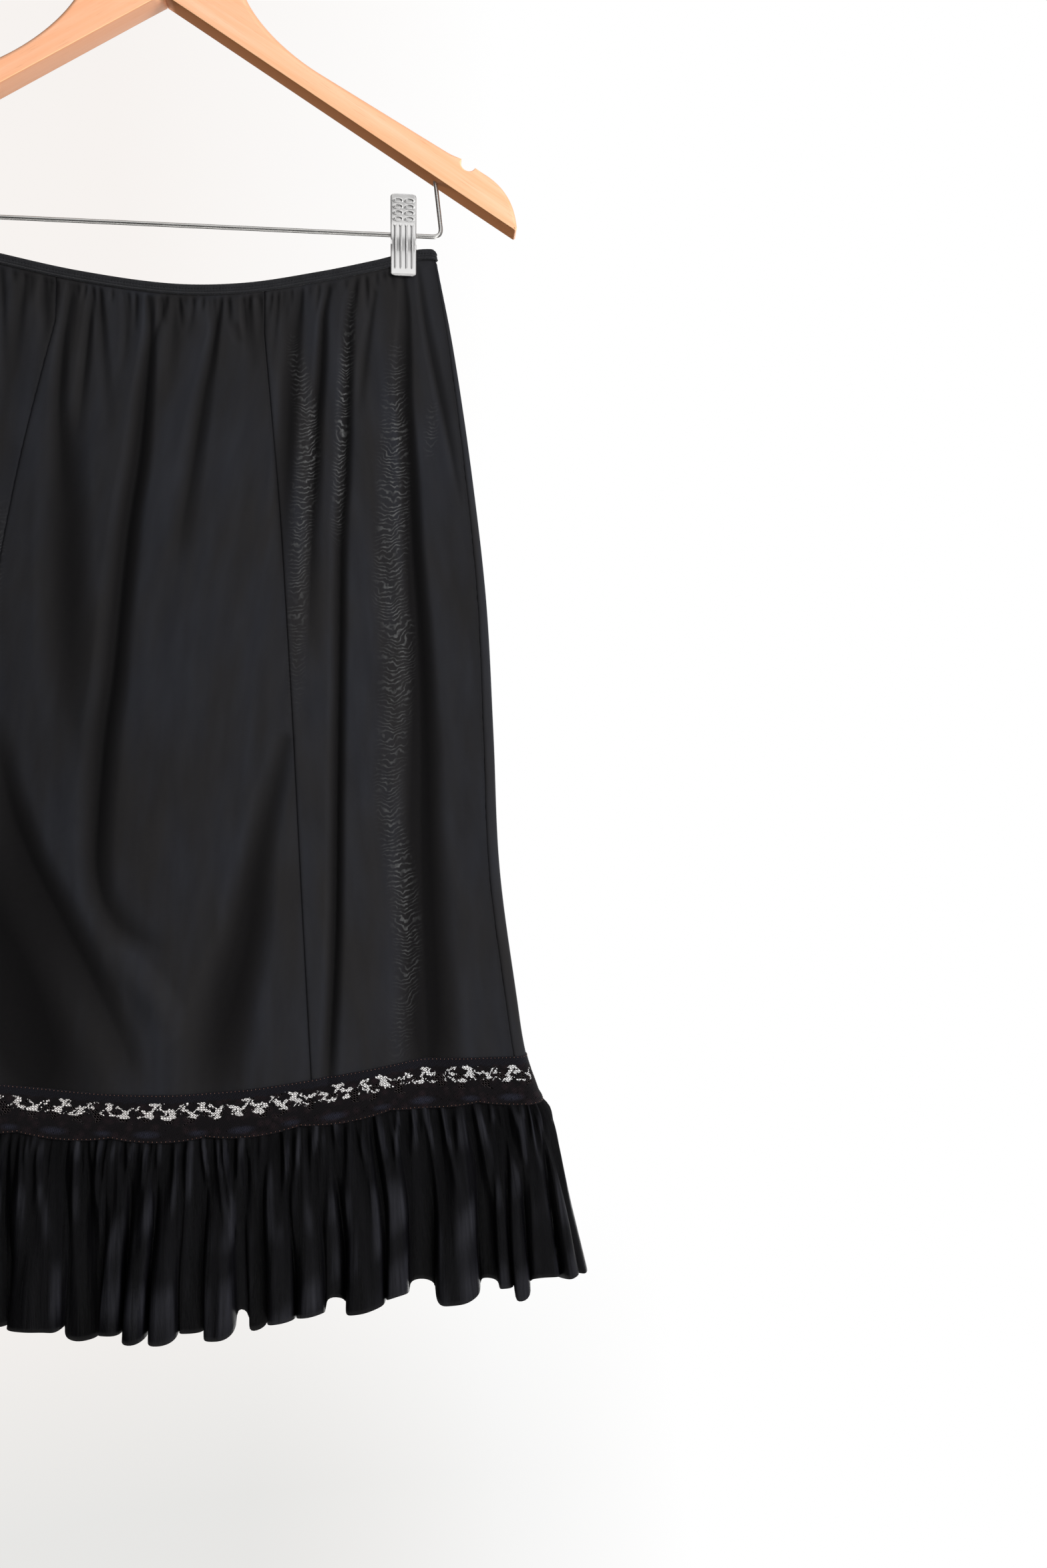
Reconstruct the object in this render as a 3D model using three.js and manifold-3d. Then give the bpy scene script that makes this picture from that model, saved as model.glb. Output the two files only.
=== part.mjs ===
// A half slip with a lace band and a gathered ruffle, hung flat from a wooden clip hanger.
// Millimetres, +Z up, -Y towards the front of the skirt. The origin is inside the top of the hook,
// where a rail carries it. "Drop" is the distance below that point.

import * as THREE from 'three';
import { mergeVertices } from 'three/addons/utils/BufferGeometryUtils.js';
import Module from 'manifold-3d';

const wasm = await Module();
wasm.setup();

// ---------------------------------------------------------------- driving dimensions

const SEAM_GAP = 0.3;          // between two pieces of cloth at a seam
const GATHER_GAP = 0.5;        // above the ruffle, whose pleats cut the corners of the curve
const FIT_GAP = 0.3;           // between hard pieces that touch

// Cloth walls
const KNIT_WALL = 1.1;         // doubled-over nylon knit
const ELASTIC_WALL = 1.3;
const LACE_WALL = 1.1;
const RUFFLE_WALL = 1.0;

// Skirt
const SKIRT_CENTRE = -4.5;     // the skirt hangs a little to the left of the hook
const BAND_TOP = 255.2;        // drop of the waistband's top edge at the sides
const BAND_HEIGHT = 6.8;
const PANEL_TOP = BAND_TOP + BAND_HEIGHT;
const LACE_TOP = 776;
const LACE_HEIGHT = 29;
const RUFFLE_TOP = LACE_TOP + LACE_HEIGHT;
const HEM = 919;

// Half width, edge radius and fullness of the skirt, level by level, at the sides.
// "edge" is the radius of the folded side; "front" and "back" are how far each layer stands
// from the hanger's mid-plane in the middle; "sagFront" and "sagBack" are the extra drop there.
const LEVELS = [
  { drop: 255, half: 175.2, edge: 1.6, front: 5.0, back: 4.2, sagFront: 29.6, sagBack: 26.0 },
  { drop: 262, half: 175.8, edge: 1.6, front: 5.2, back: 4.4, sagFront: 29.5, sagBack: 26.0 },
  { drop: 316, half: 186.3, edge: 3.0, front: 9.0, back: 8.0, sagFront: 27.5, sagBack: 25.0 },
  { drop: 394, half: 198.0, edge: 4.6, front: 13.5, back: 12.5, sagFront: 25.0, sagBack: 24.0 },
  { drop: 481, half: 208.0, edge: 6.0, front: 17.0, back: 15.5, sagFront: 22.2, sagBack: 23.0 },
  { drop: 568, half: 212.8, edge: 7.0, front: 19.5, back: 17.5, sagFront: 19.4, sagBack: 22.5 },
  { drop: 655, half: 216.8, edge: 7.5, front: 21.0, back: 18.0, sagFront: 17.3, sagBack: 22.5 },
  { drop: 742, half: 228.4, edge: 8.0, front: 21.5, back: 18.0, sagFront: 16.0, sagBack: 23.5 },
  { drop: 776, half: 234.0, edge: 8.5, front: 21.5, back: 18.0, sagFront: 15.8, sagBack: 24.0 },
  { drop: 805, half: 243.5, edge: 11.0, front: 24.0, back: 21.0, sagFront: 13.8, sagBack: 22.0 },
  { drop: 862, half: 257.0, edge: 17.0, front: 31.0, back: 28.0, sagFront: 12.5, sagBack: 18.5 },
  { drop: 919, half: 267.0, edge: 23.0, front: 37.0, back: 34.0, sagFront: 13.0, sagBack: 17.0 },
];

// How the top edge dips between the clips: the share of the full sag at each place across.
const DIP = [
  { across: -176, share: 0 },
  { across: -150, share: 0.09 },
  { across: -99, share: 0.49 },
  { across: -50, share: 0.81 },
  { across: 5, share: 1 },
  { across: 50, share: 0.91 },
  { across: 97, share: 0.58 },
  { across: 131, share: 0.28 },
  { across: 158, share: 0.02 },
  { across: 176, share: 0 },
];

// Where the two princess seams cross each level.
const PRINCESS_SEAMS = [
  { drop: 290, left: -66, right: 62 },
  { drop: 400, left: -89, right: 71.5 },
  { drop: 527, left: -108, right: 79.5 },
  { drop: 655, left: -118, right: 86 },
  { drop: 790, left: -126, right: 93 },
];

// The largest hanging folds. A fold runs from (topX, topDrop) to (lowX, lowDrop); "reach" is half
// its width and "depth" how far it stands out, or in where it is negative.
const FRONT_FOLDS = [
  { topX: -3, topDrop: 310, lowX: -34, lowDrop: 650, reach: 17, depth: -5.5 },
  { topX: 33, topDrop: 318, lowX: 14, lowDrop: 460, reach: 14, depth: -3 },
  { topX: -52, topDrop: 350, lowX: -49, lowDrop: 560, reach: 24, depth: -3.5 },
  { topX: -100, topDrop: 540, lowX: -8, lowDrop: 770, reach: 34, depth: 4.5 },
  { topX: 78, topDrop: 560, lowX: 44, lowDrop: 765, reach: 24, depth: -4 },
  { topX: 116, topDrop: 296, lowX: 108, lowDrop: 775, reach: 15, depth: -5 },
  { topX: 156, topDrop: 330, lowX: 175, lowDrop: 775, reach: 17, depth: -6 },
  { topX: -140, topDrop: 310, lowX: -168, lowDrop: 770, reach: 18, depth: -6 },
];
const BACK_FOLDS = [
  { topX: -146, topDrop: 320, lowX: -172, lowDrop: 770, reach: 18, depth: -5.5 },
  { topX: -92, topDrop: 300, lowX: -104, lowDrop: 740, reach: 17, depth: -5 },
  { topX: -30, topDrop: 310, lowX: -44, lowDrop: 700, reach: 20, depth: -4.5 },
  { topX: 36, topDrop: 305, lowX: 52, lowDrop: 760, reach: 18, depth: -5 },
  { topX: 98, topDrop: 300, lowX: 112, lowDrop: 640, reach: 16, depth: -4.5 },
  { topX: 148, topDrop: 330, lowX: 170, lowDrop: 775, reach: 17, depth: -5.5 },
];
const FOLD_FADE = 90;          // length over which a fold starts and dies away
const FOLD_CLEAR = 26;         // no folds this close to the folded sides
const LAYERS_CLEAR = 1.45;     // front and back walls stay this far from the mid-plane

// Ruffle pleats
const PLEATS = 42;
const PLEAT_DEPTH_TOP = 0.9;   // half the depth where it is gathered to the lace
const PLEAT_DEPTH_HEM = 6.0;
const HEM_LOBE = 3.5;          // rise and fall of the hem along the pleats

// Hanger
const NOTCH_DROP = 104;        // the arms' undersides meet here
const ARM_SLOPE = 0.6234;      // fall of each arm's underside along X
const ARM_THICKNESS = 13.6;
const NECK_HEIGHT = 36;        // neck's top above the notch
const STRAP_NOTCH = { x: 192, z: -95.8, radius: 5.2 };

// Wires
const HOOK_RADIUS = 1.75;      // wire
const HOOK_MOUTH = 20;         // inside radius of the hook
const HOOK_BEND = 9;           // small bend between stem and hook
const BAR_RADIUS = 1.4;
const BAR_DROP = 245.5;
const BAR_LEG_TOP = { x: 170, drop: 205 };
const BAR_CORNER = { x: 174.6, drop: 245.5, bend: 6 };

// Clips, about the bar's axis
const CLIP_X = 150;
const CLIP_WIDTH = 16.4;
const SHEET = 0.9;
const EAR_RADIUS = 3.6;
const EAR_NEST = 1.3;          // how far the back jaw's ears sit inside the front jaw's
const SPRING_RADIUS = 2.8;
const SPRING_LENGTH = 10;
// The jaw's inside face, from its finger tab down to its lip: z above the bar, y from the middle.
const JAW_PROFILE = [
  { z: 22.5, y: 7.6 },
  { z: 6, y: 4.9 },
  { z: -4, y: 4.6 },
  { z: -12.5, y: 2.6 },
  { z: -26.8, y: 2.6 },
  { z: -29, y: 3.4 },
];

// ---------------------------------------------------------------- materials

const finish = (color, roughness, metalness = 0) =>
  new THREE.MeshStandardMaterial({ color, roughness, metalness });
const KNIT = finish(0x191a1e, 0.6);
const ELASTIC = finish(0x101113, 0.8);
const LACE = finish(0x1d1a1d, 0.8);
const SATIN = finish(0x0d0e12, 0.35);
const WOOD = finish(0xe9b184, 0.5);
const STEEL = finish(0xc9c9c6, 0.25, 1);

// ---------------------------------------------------------------- reading the tables

const clamp = (value, low, high) => Math.min(high, Math.max(low, value));
const smooth = (t) => t * t * (3 - 2 * t);

/** A smooth curve through one column of a table, with its slopes taken from the rows beside it. */
function column(rows, key, name) {
  const slope = (i) => {
    const a = rows[Math.max(0, i - 1)];
    const b = rows[Math.min(rows.length - 1, i + 1)];
    return (b[name] - a[name]) / (b[key] - a[key]);
  };
  return (at) => {
    const inside = clamp(at, rows[0][key], rows.at(-1)[key]);
    let i = 0;
    while (i < rows.length - 2 && rows[i + 1][key] < inside) i += 1;
    const [from, to] = [rows[i], rows[i + 1]];
    const span = to[key] - from[key];
    const t = (inside - from[key]) / span;
    const ease = smooth(t);
    return from[name] * (1 - ease) + to[name] * ease
      + span * t * (1 - t) * ((1 - t) * slope(i) - t * slope(i + 1));
  };
}

const halfAt = column(LEVELS, 'drop', 'half');
const edgeAt = column(LEVELS, 'drop', 'edge');
const frontAt = column(LEVELS, 'drop', 'front');
const backAt = column(LEVELS, 'drop', 'back');
const sagFrontAt = column(LEVELS, 'drop', 'sagFront');
const sagBackAt = column(LEVELS, 'drop', 'sagBack');
const dipAt = column(DIP, 'across', 'share');
const seamLeftAt = column(PRINCESS_SEAMS, 'drop', 'left');
const seamRightAt = column(PRINCESS_SEAMS, 'drop', 'right');

// ---------------------------------------------------------------- the skirt's surface

/** How far one fold lifts the cloth at x on a level. */
function foldLift(fold, x, drop) {
  const along = (drop - fold.topDrop) / (fold.lowDrop - fold.topDrop);
  const centre = fold.topX + (fold.lowX - fold.topX) * along;
  const near = Math.abs(x - centre) / fold.reach;
  if (near >= 1) return 0;
  const start = clamp((drop - fold.topDrop + FOLD_FADE) / FOLD_FADE, 0, 1);
  const end = clamp((fold.lowDrop + FOLD_FADE - drop) / FOLD_FADE, 0, 1);
  return fold.depth * (1 - near * near) ** 2 * smooth(start) * smooth(end);
}

/** Keeps an inward fold short of the room behind it, without a kink. */
const softLimit = (lift, room) => (lift < 0 ? room * Math.tanh(lift / room) : lift);

/** All of a layer's folds, faded out at the sides, under the band and above the lace. */
function foldsLift(folds, x, fromSide, drop) {
  const sides = smooth(clamp(fromSide / FOLD_CLEAR - 1, 0, 1));
  const top = smooth(clamp((drop - PANEL_TOP - 12) / 60, 0, 1));
  const low = 1 - 0.8 * smooth(clamp((drop - LACE_TOP + 60) / 60, 0, 1));
  return sides * top * low * folds.reduce((sum, fold) => sum + foldLift(fold, x, drop), 0);
}

/**
 * A point of the skirt. "around" goes 0-1 over the front from left to right, 1-2 round the right
 * side, 2-3 over the back from right to left and 3-4 round the left side.
 */
function skirtPoint(around, drop) {
  const turn = ((around % 4) + 4) % 4;
  const quarter = Math.floor(turn);
  const t = turn - quarter;
  const edge = edgeAt(drop);
  const flat = halfAt(drop) - edge;
  if (quarter === 0 || quarter === 2) {
    const facing = quarter === 0 ? -1 : 1;
    const u = quarter === 0 ? 2 * t - 1 : 1 - 2 * t;
    const x = SKIRT_CENTRE + flat * u;
    const fullness = (quarter === 0 ? frontAt(drop) : backAt(drop)) - edge;
    const folds = quarter === 0 ? FRONT_FOLDS : BACK_FOLDS;
    const stand = edge + fullness * (1 - u * u) ** 2;
    const lift = softLimit(foldsLift(folds, x, flat * (1 - Math.abs(u)), drop), stand - LAYERS_CLEAR);
    const sag = (quarter === 0 ? sagFrontAt(drop) : sagBackAt(drop)) * dipAt(x);
    return new THREE.Vector3(x, facing * (stand + lift), -drop - sag);
  }
  const side = quarter === 1 ? 1 : -1;
  const angle = (t - 0.5) * Math.PI;
  const x = SKIRT_CENTRE + side * (flat + edge * Math.cos(angle));
  return new THREE.Vector3(x, side * edge * Math.sin(angle), -drop);
}

/** The surface's outward direction, from two short steps along it. */
function outward(surface, around, drop) {
  const step = 1e-4;
  const along = surface(around + step, drop).sub(surface(around - step, drop));
  const down = surface(around, drop + 0.2).sub(surface(around, drop - 0.2));
  return down.cross(along).normalize();
}

/** Moves a place on the surface sideways by a length, for the gap at a seam. */
function besideSeam(around, drop, length) {
  const perUnit = Math.floor(((around + 1e-9 * Math.sign(length)) % 4 + 4) % 4) % 2 === 0
    ? 2 * (halfAt(drop) - edgeAt(drop))
    : Math.PI * edgeAt(drop);
  return around + length / perUnit;
}

/**
 * Where the ruffle stands at a place: the skirt's surface, pleated ever deeper down to the hem.
 * The table of levels ends at the hem, so the direction there is taken just above it.
 */
function rufflePoint(around, drop) {
  const down = Math.max(0, (drop - RUFFLE_TOP) / (HEM - RUFFLE_TOP));
  const base = skirtPoint(around, drop);
  const out = outward(skirtPoint, around, Math.min(drop, HEM - 1));
  const turn = pleatTurn(around);
  const uneven = 1 + 0.3 * Math.sin(3.1 * turn) + 0.2 * Math.sin(7.3 * turn + 1);
  const depth = PLEAT_DEPTH_TOP + (PLEAT_DEPTH_HEM - PLEAT_DEPTH_TOP) * down ** 0.8;
  const wave = Math.sin(PLEATS * turn);
  base.addScaledVector(out, depth * uneven * wave);
  base.z += HEM_LOBE * down * Math.sin(PLEATS * turn / 2 + 0.6 * Math.sin(5 * turn));
  return base;
}

const RUFFLE_COLUMNS = 4 * PLEATS;
const ringLength = 4 * (halfAt(HEM) - edgeAt(HEM)) + 2 * Math.PI * edgeAt(HEM);
const flatShare = 2 * (halfAt(HEM) - edgeAt(HEM)) / ringLength;
const quarterShares = [flatShare, 0.5 - flatShare, flatShare, 0.5 - flatShare];

/** The place around for a share of the hem's length, so that the pleats are evenly spaced. */
function aroundAtShare(share) {
  let left = share;
  let quarter = 0;
  while (quarter < 3 && left > quarterShares[quarter]) left -= quarterShares[quarter++];
  return quarter + left / quarterShares[quarter];
}

/** The angle of the pleat wave at a place around, the other way about. */
function pleatTurn(around) {
  const turn = ((around % 4) + 4) % 4;
  const quarter = Math.floor(turn);
  const before = quarterShares.slice(0, quarter).reduce((sum, part) => sum + part, 0);
  return 2 * Math.PI * (before + (turn - quarter) * quarterShares[quarter]);
}

// ---------------------------------------------------------------- cloth walls

/**
 * A wall of cloth with its outer face on a surface. "columns" lists functions that give the place
 * around for a level, "drops" the levels. A ring joins its last column to its first.
 */
function clothWall(surface, columns, drops, wall, ring) {
  const positions = [];
  const vertex = (i, j, inner) => 2 * (i * drops.length + j) + inner;
  columns.forEach((aroundAt) => drops.forEach((drop) => {
    const around = aroundAt(drop);
    const outer = surface(around, drop);
    const inner = outer.clone().addScaledVector(outward(surface, around, drop), -wall);
    positions.push(outer.x, outer.y, outer.z, inner.x, inner.y, inner.z);
  }));
  const faces = [];
  const quad = (a, b, c, d) => faces.push(a, b, c, a, c, d);
  const spans = ring ? columns.length : columns.length - 1;
  const last = drops.length - 1;
  for (let i = 0; i < spans; i += 1) {
    const k = (i + 1) % columns.length;
    for (let j = 0; j < last; j += 1) {
      quad(vertex(i, j, 0), vertex(i, j + 1, 0), vertex(k, j + 1, 0), vertex(k, j, 0));
      quad(vertex(i, j, 1), vertex(k, j, 1), vertex(k, j + 1, 1), vertex(i, j + 1, 1));
    }
    quad(vertex(i, 0, 1), vertex(i, 0, 0), vertex(k, 0, 0), vertex(k, 0, 1));
    quad(vertex(i, last, 0), vertex(i, last, 1), vertex(k, last, 1), vertex(k, last, 0));
  }
  if (!ring) {
    const end = columns.length - 1;
    for (let j = 0; j < last; j += 1) {
      quad(vertex(0, j, 1), vertex(0, j + 1, 1), vertex(0, j + 1, 0), vertex(0, j, 0));
      quad(vertex(end, j, 0), vertex(end, j + 1, 0), vertex(end, j + 1, 1), vertex(end, j, 1));
    }
  }
  const geometry = new THREE.BufferGeometry();
  geometry.setAttribute('position', new THREE.Float32BufferAttribute(positions, 3));
  geometry.setIndex(faces);
  return geometry;
}

/** Evenly spaced levels, both ends included. */
const levels = (from, to, count) =>
  Array.from({ length: count + 1 }, (_, j) => from + (to - from) * j / count);

/** Columns shared out between two places around that may change from level to level. */
const columnsBetween = (startAt, endAt, count) =>
  Array.from({ length: count + 1 }, (_, i) => (drop) => {
    const start = startAt(drop);
    return start + (endAt(drop) - start) * i / count;
  });

/** Columns right round the skirt, close together round its folded sides. */
function ringColumns(frontCount, sideCount, backCount) {
  const counts = [frontCount, sideCount, backCount, sideCount];
  return counts.flatMap((count, quarter) =>
    Array.from({ length: count }, (_, i) => () => quarter + i / count));
}

const frontPlace = (x, drop) =>
  0.5 + 0.5 * (x - SKIRT_CENTRE) / (halfAt(drop) - edgeAt(drop));
const leftSeam = (drop) => frontPlace(seamLeftAt(drop), drop);
const rightSeam = (drop) => frontPlace(seamRightAt(drop), drop);
const beside = (placeAt, length) => (drop) => besideSeam(placeAt(drop), drop, length);

const PANEL_DROPS = levels(PANEL_TOP + SEAM_GAP, LACE_TOP - SEAM_GAP, 14);
const HALF_GAP = SEAM_GAP / 2;

/** A panel between two seams. */
function panel(startAt, endAt, count) {
  const columns = columnsBetween(beside(startAt, HALF_GAP), beside(endAt, -HALF_GAP), count);
  return clothWall(skirtPoint, columns, PANEL_DROPS, KNIT_WALL, false);
}

/** The back wraps both folded sides to the side seams just inside them. */
function backPanel(sideCount, flatCount) {
  const start = beside(() => 1, HALF_GAP);
  const end = beside(() => 4, -HALF_GAP);
  const columns = [
    ...columnsBetween(start, () => 2, sideCount).slice(0, -1),
    ...columnsBetween(() => 2, () => 3, flatCount).slice(0, -1),
    ...columnsBetween(() => 3, end, sideCount),
  ];
  return clothWall(skirtPoint, columns, PANEL_DROPS, KNIT_WALL, false);
}

const waistband = () => clothWall(
  skirtPoint, ringColumns(34, 4, 26), levels(BAND_TOP, PANEL_TOP, 1), ELASTIC_WALL, true);

const laceBand = () => clothWall(
  skirtPoint, ringColumns(34, 4, 26), levels(LACE_TOP, RUFFLE_TOP - GATHER_GAP, 2), LACE_WALL, true);

function ruffle() {
  const columns = Array.from({ length: RUFFLE_COLUMNS }, (_, i) => () =>
    aroundAtShare((i + 0.5) / RUFFLE_COLUMNS));
  return clothWall(rufflePoint, columns, levels(RUFFLE_TOP, HEM, 4), RUFFLE_WALL, true);
}

// ---------------------------------------------------------------- solids joined and cut

/** A closed geometry as a manifold solid. */
function solid(geometry) {
  const bare = geometry.clone();
  bare.deleteAttribute('normal');
  bare.deleteAttribute('uv');
  const merged = mergeVertices(bare, 1e-4);
  return new wasm.Manifold(new wasm.Mesh({
    numProp: 3,
    vertProperties: new Float32Array(merged.attributes.position.array),
    triVerts: new Uint32Array(merged.index.array),
  }));
}

/** A manifold solid as a geometry. */
function geometryOf(body) {
  const mesh = body.getMesh();
  const geometry = new THREE.BufferGeometry();
  geometry.setAttribute('position', new THREE.Float32BufferAttribute(mesh.vertProperties, 3));
  geometry.setIndex(Array.from(mesh.triVerts));
  return geometry;
}

/** A cylinder between two points. */
function rod(from, to, radius, sides) {
  const axis = to.clone().sub(from);
  const geometry = new THREE.CylinderGeometry(radius, radius, axis.length(), sides);
  const turn = new THREE.Quaternion().setFromUnitVectors(
    new THREE.Vector3(0, 1, 0), axis.clone().normalize());
  geometry.applyQuaternion(turn);
  const middle = from.clone().add(to).multiplyScalar(0.5);
  return geometry.translate(middle.x, middle.y, middle.z);
}

/** A round wire along a path drawn in the X-Z plane. */
function wire(path, radius, steps, sides) {
  const points = path.getSpacedPoints(steps).map((p) => new THREE.Vector3(p.x, 0, p.y));
  const section = new THREE.Shape().absarc(0, 0, radius, 0, 2 * Math.PI);
  return new THREE.ExtrudeGeometry(section, {
    steps, curveSegments: sides / 2, extrudePath: new THREE.CatmullRomCurve3(points),
  });
}

/** A shape drawn in X-Z, given a thickness about the mid-plane. */
function plateXZ(shape, thickness, curveSegments) {
  const geometry = new THREE.ExtrudeGeometry(shape, {
    depth: thickness, bevelEnabled: false, curveSegments,
  });
  geometry.translate(0, 0, -thickness / 2);
  return geometry.rotateX(Math.PI / 2);
}

/** A shape drawn in Y-Z, given a width along X about zero. */
function plateYZ(shape, width, curveSegments = 6) {
  const geometry = new THREE.ExtrudeGeometry(shape, { depth: width, bevelEnabled: false, curveSegments });
  geometry.translate(0, 0, -width / 2);
  return geometry.applyMatrix4(new THREE.Matrix4().makeBasis(
    new THREE.Vector3(0, 1, 0), new THREE.Vector3(0, 0, 1), new THREE.Vector3(1, 0, 0)));
}

// ---------------------------------------------------------------- hanger

/** The right arm's outline about the notch, z measured up from it. */
function armOutline() {
  const tip = { x: 223, z: -138.6 };
  const outline = new THREE.Shape();
  outline.moveTo(FIT_GAP / 2, 0);
  outline.lineTo(tip.x - 3, -ARM_SLOPE * (tip.x - 3));
  outline.quadraticCurveTo(tip.x, tip.z - 1, tip.x, tip.z + 2);
  outline.quadraticCurveTo(218.2, -111.4, 196, -99.1);
  const { x, z, radius } = STRAP_NOTCH;
  outline.absarc(x, z, radius, -0.69, -Math.PI - 0.41, true);
  outline.lineTo(98, -43.4);
  outline.bezierCurveTo(74, -30, 56, -11, 50, 4);
  outline.bezierCurveTo(44, 22, 34, NECK_HEIGHT - 1, 12, NECK_HEIGHT);
  outline.lineTo(FIT_GAP / 2, NECK_HEIGHT);
  outline.closePath();
  return outline;
}

/** Both holes that an arm carries: for the hook's stem and for its end of the clip bar. */
function armHoles(side) {
  const stem = rod(new THREE.Vector3(0, 0, -NOTCH_DROP + 12),
    new THREE.Vector3(0, 0, -NOTCH_DROP + NECK_HEIGHT + 5), HOOK_RADIUS + FIT_GAP, 12);
  const leg = rod(new THREE.Vector3(side * legAt(200), 0, -200),
    new THREE.Vector3(side * legAt(225), 0, -225), BAR_RADIUS + FIT_GAP, 12);
  return [stem, leg];
}

function arm(side) {
  const plank = plateXZ(armOutline(), ARM_THICKNESS, 8).translate(0, 0, -NOTCH_DROP);
  if (side < 0) plank.rotateZ(Math.PI);
  const [stem, leg] = armHoles(side);
  return geometryOf(solid(plank).subtract(solid(stem)).subtract(solid(leg)));
}

/** The clip bar's leg leans out a little on its way down. */
function legAt(drop) {
  const lean = (BAR_CORNER.x - BAR_LEG_TOP.x) / (BAR_CORNER.drop - BAR_LEG_TOP.drop);
  return BAR_LEG_TOP.x + lean * (drop - BAR_LEG_TOP.drop);
}

function hook() {
  const centreZ = -HOOK_MOUTH;
  const round = HOOK_MOUTH + HOOK_RADIUS;
  const rise = Math.sqrt((round + HOOK_BEND) ** 2 - HOOK_BEND ** 2);
  const bendZ = centreZ - rise;
  const meet = Math.atan2(-rise, HOOK_BEND);
  const path = new THREE.Path();
  path.moveTo(0, -NOTCH_DROP + 14);
  path.lineTo(0, bendZ);
  path.absarc(HOOK_BEND, bendZ, HOOK_BEND, Math.PI, meet + Math.PI, true);
  path.absarc(0, centreZ, round, meet, 1.08 * Math.PI, false);
  return wire(path, HOOK_RADIUS, 48, 10);
}

function clipBar() {
  const { bend } = BAR_CORNER;
  const path = new THREE.Path();
  const legTop = 203;
  const legFoot = BAR_CORNER.drop - bend;
  path.moveTo(-legAt(legTop), -legTop);
  path.lineTo(-legAt(legFoot), -legFoot);
  path.quadraticCurveTo(-BAR_CORNER.x, -BAR_DROP, -BAR_CORNER.x + bend, -BAR_DROP);
  path.lineTo(BAR_CORNER.x - bend, -BAR_DROP);
  path.quadraticCurveTo(BAR_CORNER.x, -BAR_DROP, legAt(legFoot), -legFoot);
  path.lineTo(legAt(legTop), -legTop);
  return wire(path, BAR_RADIUS, 64, 8);
}

// ---------------------------------------------------------------- clips

/** A jaw: a bent plate with two ears that ride on the bar. It faces -Y. */
function jaw(earInset) {
  const plate = new THREE.Shape();
  const inside = JAW_PROFILE.map((row) => new THREE.Vector2(-row.y, row.z));
  const outside = inside.map((point) => new THREE.Vector2(point.x - SHEET, point.y)).reverse();
  plate.setFromPoints([...inside, ...outside]);
  let body = solid(plateYZ(plate, CLIP_WIDTH));
  const tab = -JAW_PROFILE[2].y - SHEET / 2;
  const ear = new THREE.Shape();
  ear.moveTo(tab, 7);
  ear.lineTo(0, EAR_RADIUS);
  ear.absarc(0, 0, EAR_RADIUS, Math.PI / 2, -Math.PI / 2, true);
  ear.lineTo(tab, -7);
  ear.closePath();
  const out = CLIP_WIDTH / 2 - SHEET / 2 - earInset;
  for (const side of [-1, 1]) {
    body = body.add(solid(plateYZ(ear, SHEET).translate(side * out, 0, 0)));
  }
  const bore = rod(new THREE.Vector3(-CLIP_WIDTH, 0, 0), new THREE.Vector3(CLIP_WIDTH, 0, 0),
    BAR_RADIUS + FIT_GAP, 12);
  return geometryOf(body.subtract(solid(bore)));
}

/** The sleeve of the coil spring that turns on the bar between the ears. */
function spring() {
  const inner = BAR_RADIUS + FIT_GAP;
  const half = SPRING_LENGTH / 2;
  const profile = [[inner, -half], [SPRING_RADIUS, -half], [SPRING_RADIUS, half], [inner, half],
    [inner, -half]].map(([radius, along]) => new THREE.Vector2(radius, along));
  return new THREE.LatheGeometry(profile, 12).rotateZ(Math.PI / 2);
}

// ---------------------------------------------------------------- assembly

const object = new THREE.Group();

function place(name, geometry, material, x = 0, z = 0, turn = 0) {
  const mesh = new THREE.Mesh(geometry, material);
  mesh.name = name;
  mesh.position.set(x, 0, z);
  mesh.rotation.z = turn;
  object.add(mesh);
}

place('waistband', waistband(), ELASTIC);
place('front_side_left', panel(() => 0, leftSeam, 10), KNIT);
place('front_centre', panel(leftSeam, rightSeam, 16), KNIT);
place('front_side_right', panel(rightSeam, () => 1, 12), KNIT);
place('back', backPanel(4, 26), KNIT);
place('lace_band', laceBand(), LACE);
place('ruffle', ruffle(), SATIN);

place('arm_left', arm(-1), WOOD);
place('arm_right', arm(1), WOOD);
place('hook', hook(), STEEL);
place('clip_bar', clipBar(), STEEL);

for (const [side, x] of [['left', -CLIP_X], ['right', CLIP_X]]) {
  place(`jaw_front_${side}`, jaw(0), STEEL, x, -BAR_DROP);
  place(`jaw_back_${side}`, jaw(EAR_NEST), STEEL, x, -BAR_DROP, Math.PI);
  place(`spring_${side}`, spring(), STEEL, x, -BAR_DROP);
}

export default object;
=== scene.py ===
# %% [markdown]
# # A slip skirt on a wooden clip hanger
#
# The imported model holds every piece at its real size: a waistband, four knit panels, a lace band, a gathered
# ruffle, and the hanger that carries them. Those solids are plain. Here each one gets the surface of the
# real thing, in the same frame: metres, +Z up, -Y to the front of the skirt, the origin inside the top of the
# hook. Cloth is made as thin sheets on the form of its solid. Sizes are written in millimetres and scaled
# once.

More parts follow.
